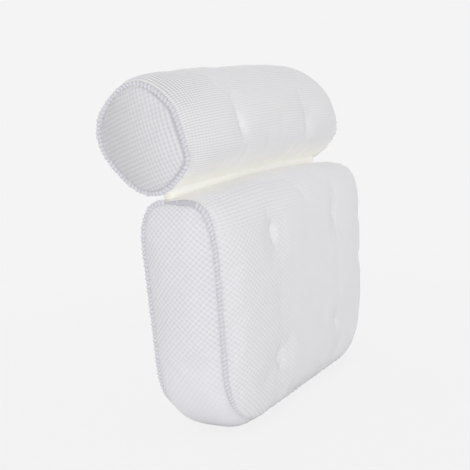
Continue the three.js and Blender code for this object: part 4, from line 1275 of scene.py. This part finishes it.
def hingeWeb():
    half = webForm["length"] / 2
    columns = np.linspace(-half, half, webForm["columns"] + 1)
    cover = newCover()
    rims = []
    for x in columns:
        full = 1 - abs(x / half) ** webForm["fade"]
        front, back = (webFace(x, side, webForm["end"][side] * (1 - full) + webForm["reach"][side] * full)
                       for side in (-1, 1))
        rims.append(front + back[::-1])
        cover["points"] += rims[-1]
    count = len(rims[0])
    for c, (near, far) in enumerate(zip(columns, columns[1:])):
        length = 0.0
        for k in range(count):
            n = (k + 1) % count
            after = length + float(np.linalg.norm(rims[c][n] - rims[c][k]))
            plan = [(near, length), (near, after), (far, after), (far, length)]
            addFace(cover, [c * count + k, c * count + n, (c + 1) * count + n, (c + 1) * count + k], plan)
            length = after
    for base in (0, (len(columns) - 1) * count):
        for k in range(count // 2 - 1):
            face = [base + k, base + k + 1, base + count - 2 - k, base + count - 1 - k]
            addFace(cover, face, [tuple(cover["points"][v][1:]) for v in face])
    web = makePiece("hinge_web", cover, "hingeTape")
    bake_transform(web)
    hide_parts("hinge_web_lower", "hinge_web_upper")


hingeWeb()
print("hinge web sewn in")


# Tufts: bars of thread laid over each pucker, with the tie that draws it in
tuftKnot = {"thread": 0.0006, "bars": 5, "spread": 0.0021, "reach": 0.0026, "lift": 0.0009, "bury": 0.0008,
            "shorter": 0.25, "tie": 0.0008, "steps": 9, "sides": 8}


def tubeAlong(cover, points, radius, sides):
    base = len(cover["points"])
    for k, point in enumerate(points):
        ahead = points[min(k + 1, len(points) - 1)] - points[max(k - 1, 0)]
        ahead.normalize()
        helper = Vector((1, 0, 0)) if abs(ahead.x) < 0.9 else Vector((0, 0, 1))
        first = ahead.cross(helper).normalized()
        second = ahead.cross(first)
        for s in range(sides):
            angle = 2 * math.pi * s / sides
            cover["points"].append(point + first * math.cos(angle) * radius + second * math.sin(angle) * radius)
    for k in range(base, base + (len(points) - 1) * sides, sides):
        for s in range(sides):
            n = (s + 1) % sides
            cover["faces"].append([k + s, k + n, k + sides + n, k + sides + s])
    last = base + (len(points) - 1) * sides
    cover["faces"].append([base + s for s in range(sides)][::-1])
    cover["faces"].append([last + s for s in range(sides)])


def tuftPiece(name, front, back, body, knot):
    cover = newCover()
    front, back = Vector(front), Vector(back)
    inward = (back - front).normalized()
    front, back = front + inward * tuftForm["pit"], back - inward * tuftForm["pit"]
    tie = [front.lerp(back, share) for share in np.linspace(0, 1, knot["steps"])]
    tubeAlong(cover, tie, knot["tie"], knot["sides"])
    for place, out in ((front, -inward), (back, inward)):
        side = out.cross(Vector((1, 0, 0))).normalized()
        across = side.cross(out).normalized()
        for share in np.linspace(-1, 1, knot["bars"]):
            middle = place + across * share * knot["spread"]
            shorter = 1 - knot["shorter"] * share * share
            line = []
            for t in np.linspace(-1, 1, knot["steps"]):
                height = knot["lift"] * (1 - t * t) + knot["thread"] * (1 - abs(share)) - knot["bury"] * t * t
                line.append(middle + side * t * knot["reach"] * shorter + out * height)
            tubeAlong(cover, line, knot["thread"], knot["sides"])
    piece = makePiece("tuft_stitch_" + name, cover, "tuftThread")
    finishPiece(piece, body, "thread", "tuft_tie_" + name)


def holderOf(name):
    return "shoulder_pad" if name.startswith("pad") else "head_roll"


for name, (front, back) in tuftPlaces.items():
    tuftPiece(name, front, back, holderOf(name), tuftKnot)
print("tufts tied:", len(tuftPlaces))


# Turned profiles for the eyelets and cups: radius and height above the seat, in metres
eyeletTurned = {"sides": 40, "isRing": True, "profile": [
    (0.0052, -0.0051), (0.0052, 0.0013), (0.0055, 0.0017), (0.0064, 0.0019), (0.0085, 0.0018),
    (0.0096, 0.0014), (0.0100, 0.0008), (0.0098, 0.0003), (0.0068, 0.0002), (0.0068, -0.0037),
    (0.0098, -0.0038), (0.0100, -0.0046), (0.0096, -0.0051),
]}
cupTurned = {"sides": 64, "isRing": False, "profile": [
    (0.0, -0.0105), (0.0030, -0.0104), (0.0055, -0.0094), (0.0071, -0.0076), (0.0074, -0.0062),
    (0.0068, -0.0055), (0.0050, -0.0055), (0.0048, -0.0040), (0.0048, 0.0016), (0.0054, 0.0021),
    (0.0080, 0.0022), (0.0088, 0.0028), (0.0090, 0.0045), (0.0091, 0.0066), (0.0104, 0.0082),
    (0.0135, 0.0096), (0.0175, 0.0113), (0.0215, 0.0132), (0.0250, 0.0152), (0.0270, 0.0163),
    (0.0275, 0.0168), (0.0274, 0.0171), (0.0262, 0.0171), (0.0250, 0.0171), (0.0242, 0.0168),
    (0.0205, 0.0149), (0.0165, 0.0131), (0.0125, 0.0114), (0.0090, 0.0100), (0.0050, 0.0094), (0.0, 0.0093),
]}


def spinProfile(name, turned, seat, axis, finishName):
    sides = turned["sides"]
    seat, axis = Vector(seat), Vector(axis)
    second = axis.cross(Vector((1, 0, 0))).normalized()
    first = second.cross(axis).normalized()
    cover = newCover()
    rows = []
    for radius, height in turned["profile"]:
        middle = seat + axis * height
        start = len(cover["points"])
        if radius == 0:
            rows.append([start] * sides)
            cover["points"].append(middle)
            continue
        rows.append(list(range(start, start + sides)))
        for s in range(sides):
            angle = 2 * math.pi * s / sides
            cover["points"].append(middle + (first * math.cos(angle) + second * math.sin(angle)) * radius)
    for low, high in zip(rows, rows[1:] + (rows[:1] if turned["isRing"] else [])):
        for s in range(sides):
            n = (s + 1) % sides
            corners = dict.fromkeys((low[s], low[n], high[n], high[s]))  # a pole gives a triangle
            cover["faces"].append(list(corners))
    return makePiece(name, cover, finishName)


for name, (seat, axis) in cupAxes.items():
    ring = spinProfile("eyelet_" + name, eyeletTurned, seat, axis, "eyeletPlastic")
    finishPiece(ring, holderOf(name), "eyelet", "cup_eyelet_" + name)
    cup = spinProfile("cup_dish_" + name, cupTurned, seat, axis, "clearCup")
    finishPiece(cup, "cup_" + name, "suction_cup", "suction_cup_" + name)
print("cups and eyelets set:", len(cupAxes))


# Plain pale studio: the floor and the backdrop share one pale grey, and the floor keeps a faint shadow
studio = {"backdrop": (0.904, 0.904, 0.904, 1), "ambient": 0.728, "shadowShare": 0.08,
          "shadowReach": (0.35, 0.9), "floorSize": 24.0, "floorDrop": 0.0004}
lamps = [
    {"name": "frontKey", "place": (-1.65, -1.05, 0.16), "size": 0.9, "power": 9.5},
    {"name": "ceilingFill", "place": (0.2, -0.3, 1.9), "size": 1.8, "power": 2.0},
    {"name": "backFill", "place": (0.9, 1.7, 0.9), "size": 1.6, "power": 6.0},
]
lampAim = (0.0, 0.0, 0.18)


def seenShare(tree):
    rays = addNode(tree, "ShaderNodeLightPath").outputs
    shiny = calc(tree, "MAXIMUM", rays["Is Glossy Ray"], rays["Is Transmission Ray"])
    return calc(tree, "MAXIMUM", rays["Is Camera Ray"], shiny)


# Shows one shader to the camera and lights the object with the other
def showAndLight(tree, share, light, seen, outKind):
    either = addNode(tree, "ShaderNodeMixShader", {0: share, 1: light.outputs[0], 2: seen.outputs[0]})
    addNode(tree, outKind, {"Surface": either.outputs[0]})


def makeWorld():
    scene.world = bpy.data.worlds.new("paleStudio")
    scene.world.use_nodes = True
    tree = scene.world.node_tree
    tree.nodes.clear()
    light = addNode(tree, "ShaderNodeBackground", {"Strength": studio["ambient"], "Color": (1, 1, 1, 1)})
    seen = addNode(tree, "ShaderNodeBackground", {"Color": studio["backdrop"]})
    showAndLight(tree, seenShare(tree), light, seen, "ShaderNodeOutputWorld")


def makeFloor():
    half, low = studio["floorSize"] / 2, -studio["floorDrop"]
    finish = bpy.data.materials.new("paleFloor")
    finish.use_nodes = True
    tree = finish.node_tree
    tree.nodes.clear()
    matt = addNode(tree, "ShaderNodeBsdfDiffuse", {"Color": studio["backdrop"]})
    glow = addNode(tree, "ShaderNodeEmission", {"Color": studio["backdrop"]})
    reach = addNode(tree, "ShaderNodeVectorMath", {0: objectPlace(tree)}, operation="LENGTH").outputs["Value"]
    fade = ramp(tree, reach, *studio["shadowReach"], 1 - studio["shadowShare"], 1.0)
    showAndLight(tree, calc(tree, "MULTIPLY", fade, seenShare(tree)), matt, glow, "ShaderNodeOutputMaterial")
    mesh = bpy.data.meshes.new("floor")
    corners = [(-half, -half, low), (half, -half, low), (half, half, low), (-half, half, low)]
    mesh.from_pydata(corners, [], [(0, 1, 2, 3)])
    mesh.materials.append(finish)
    floor = addObject("floor", mesh)


def makeLamps():
    for lamp in lamps:
        data = bpy.data.lights.new(lamp["name"], "AREA")
        data.shape = "DISK"
        data.size = lamp["size"]
        data.energy = lamp["power"]
        light = addObject(lamp["name"], data)
        light.location = lamp["place"]
        aim = Vector(lampAim) - Vector(lamp["place"])
        light.rotation_euler = aim.to_track_quat("-Z", "Y").to_euler()


makeWorld()
makeFloor()
makeLamps()
print("studio lit")
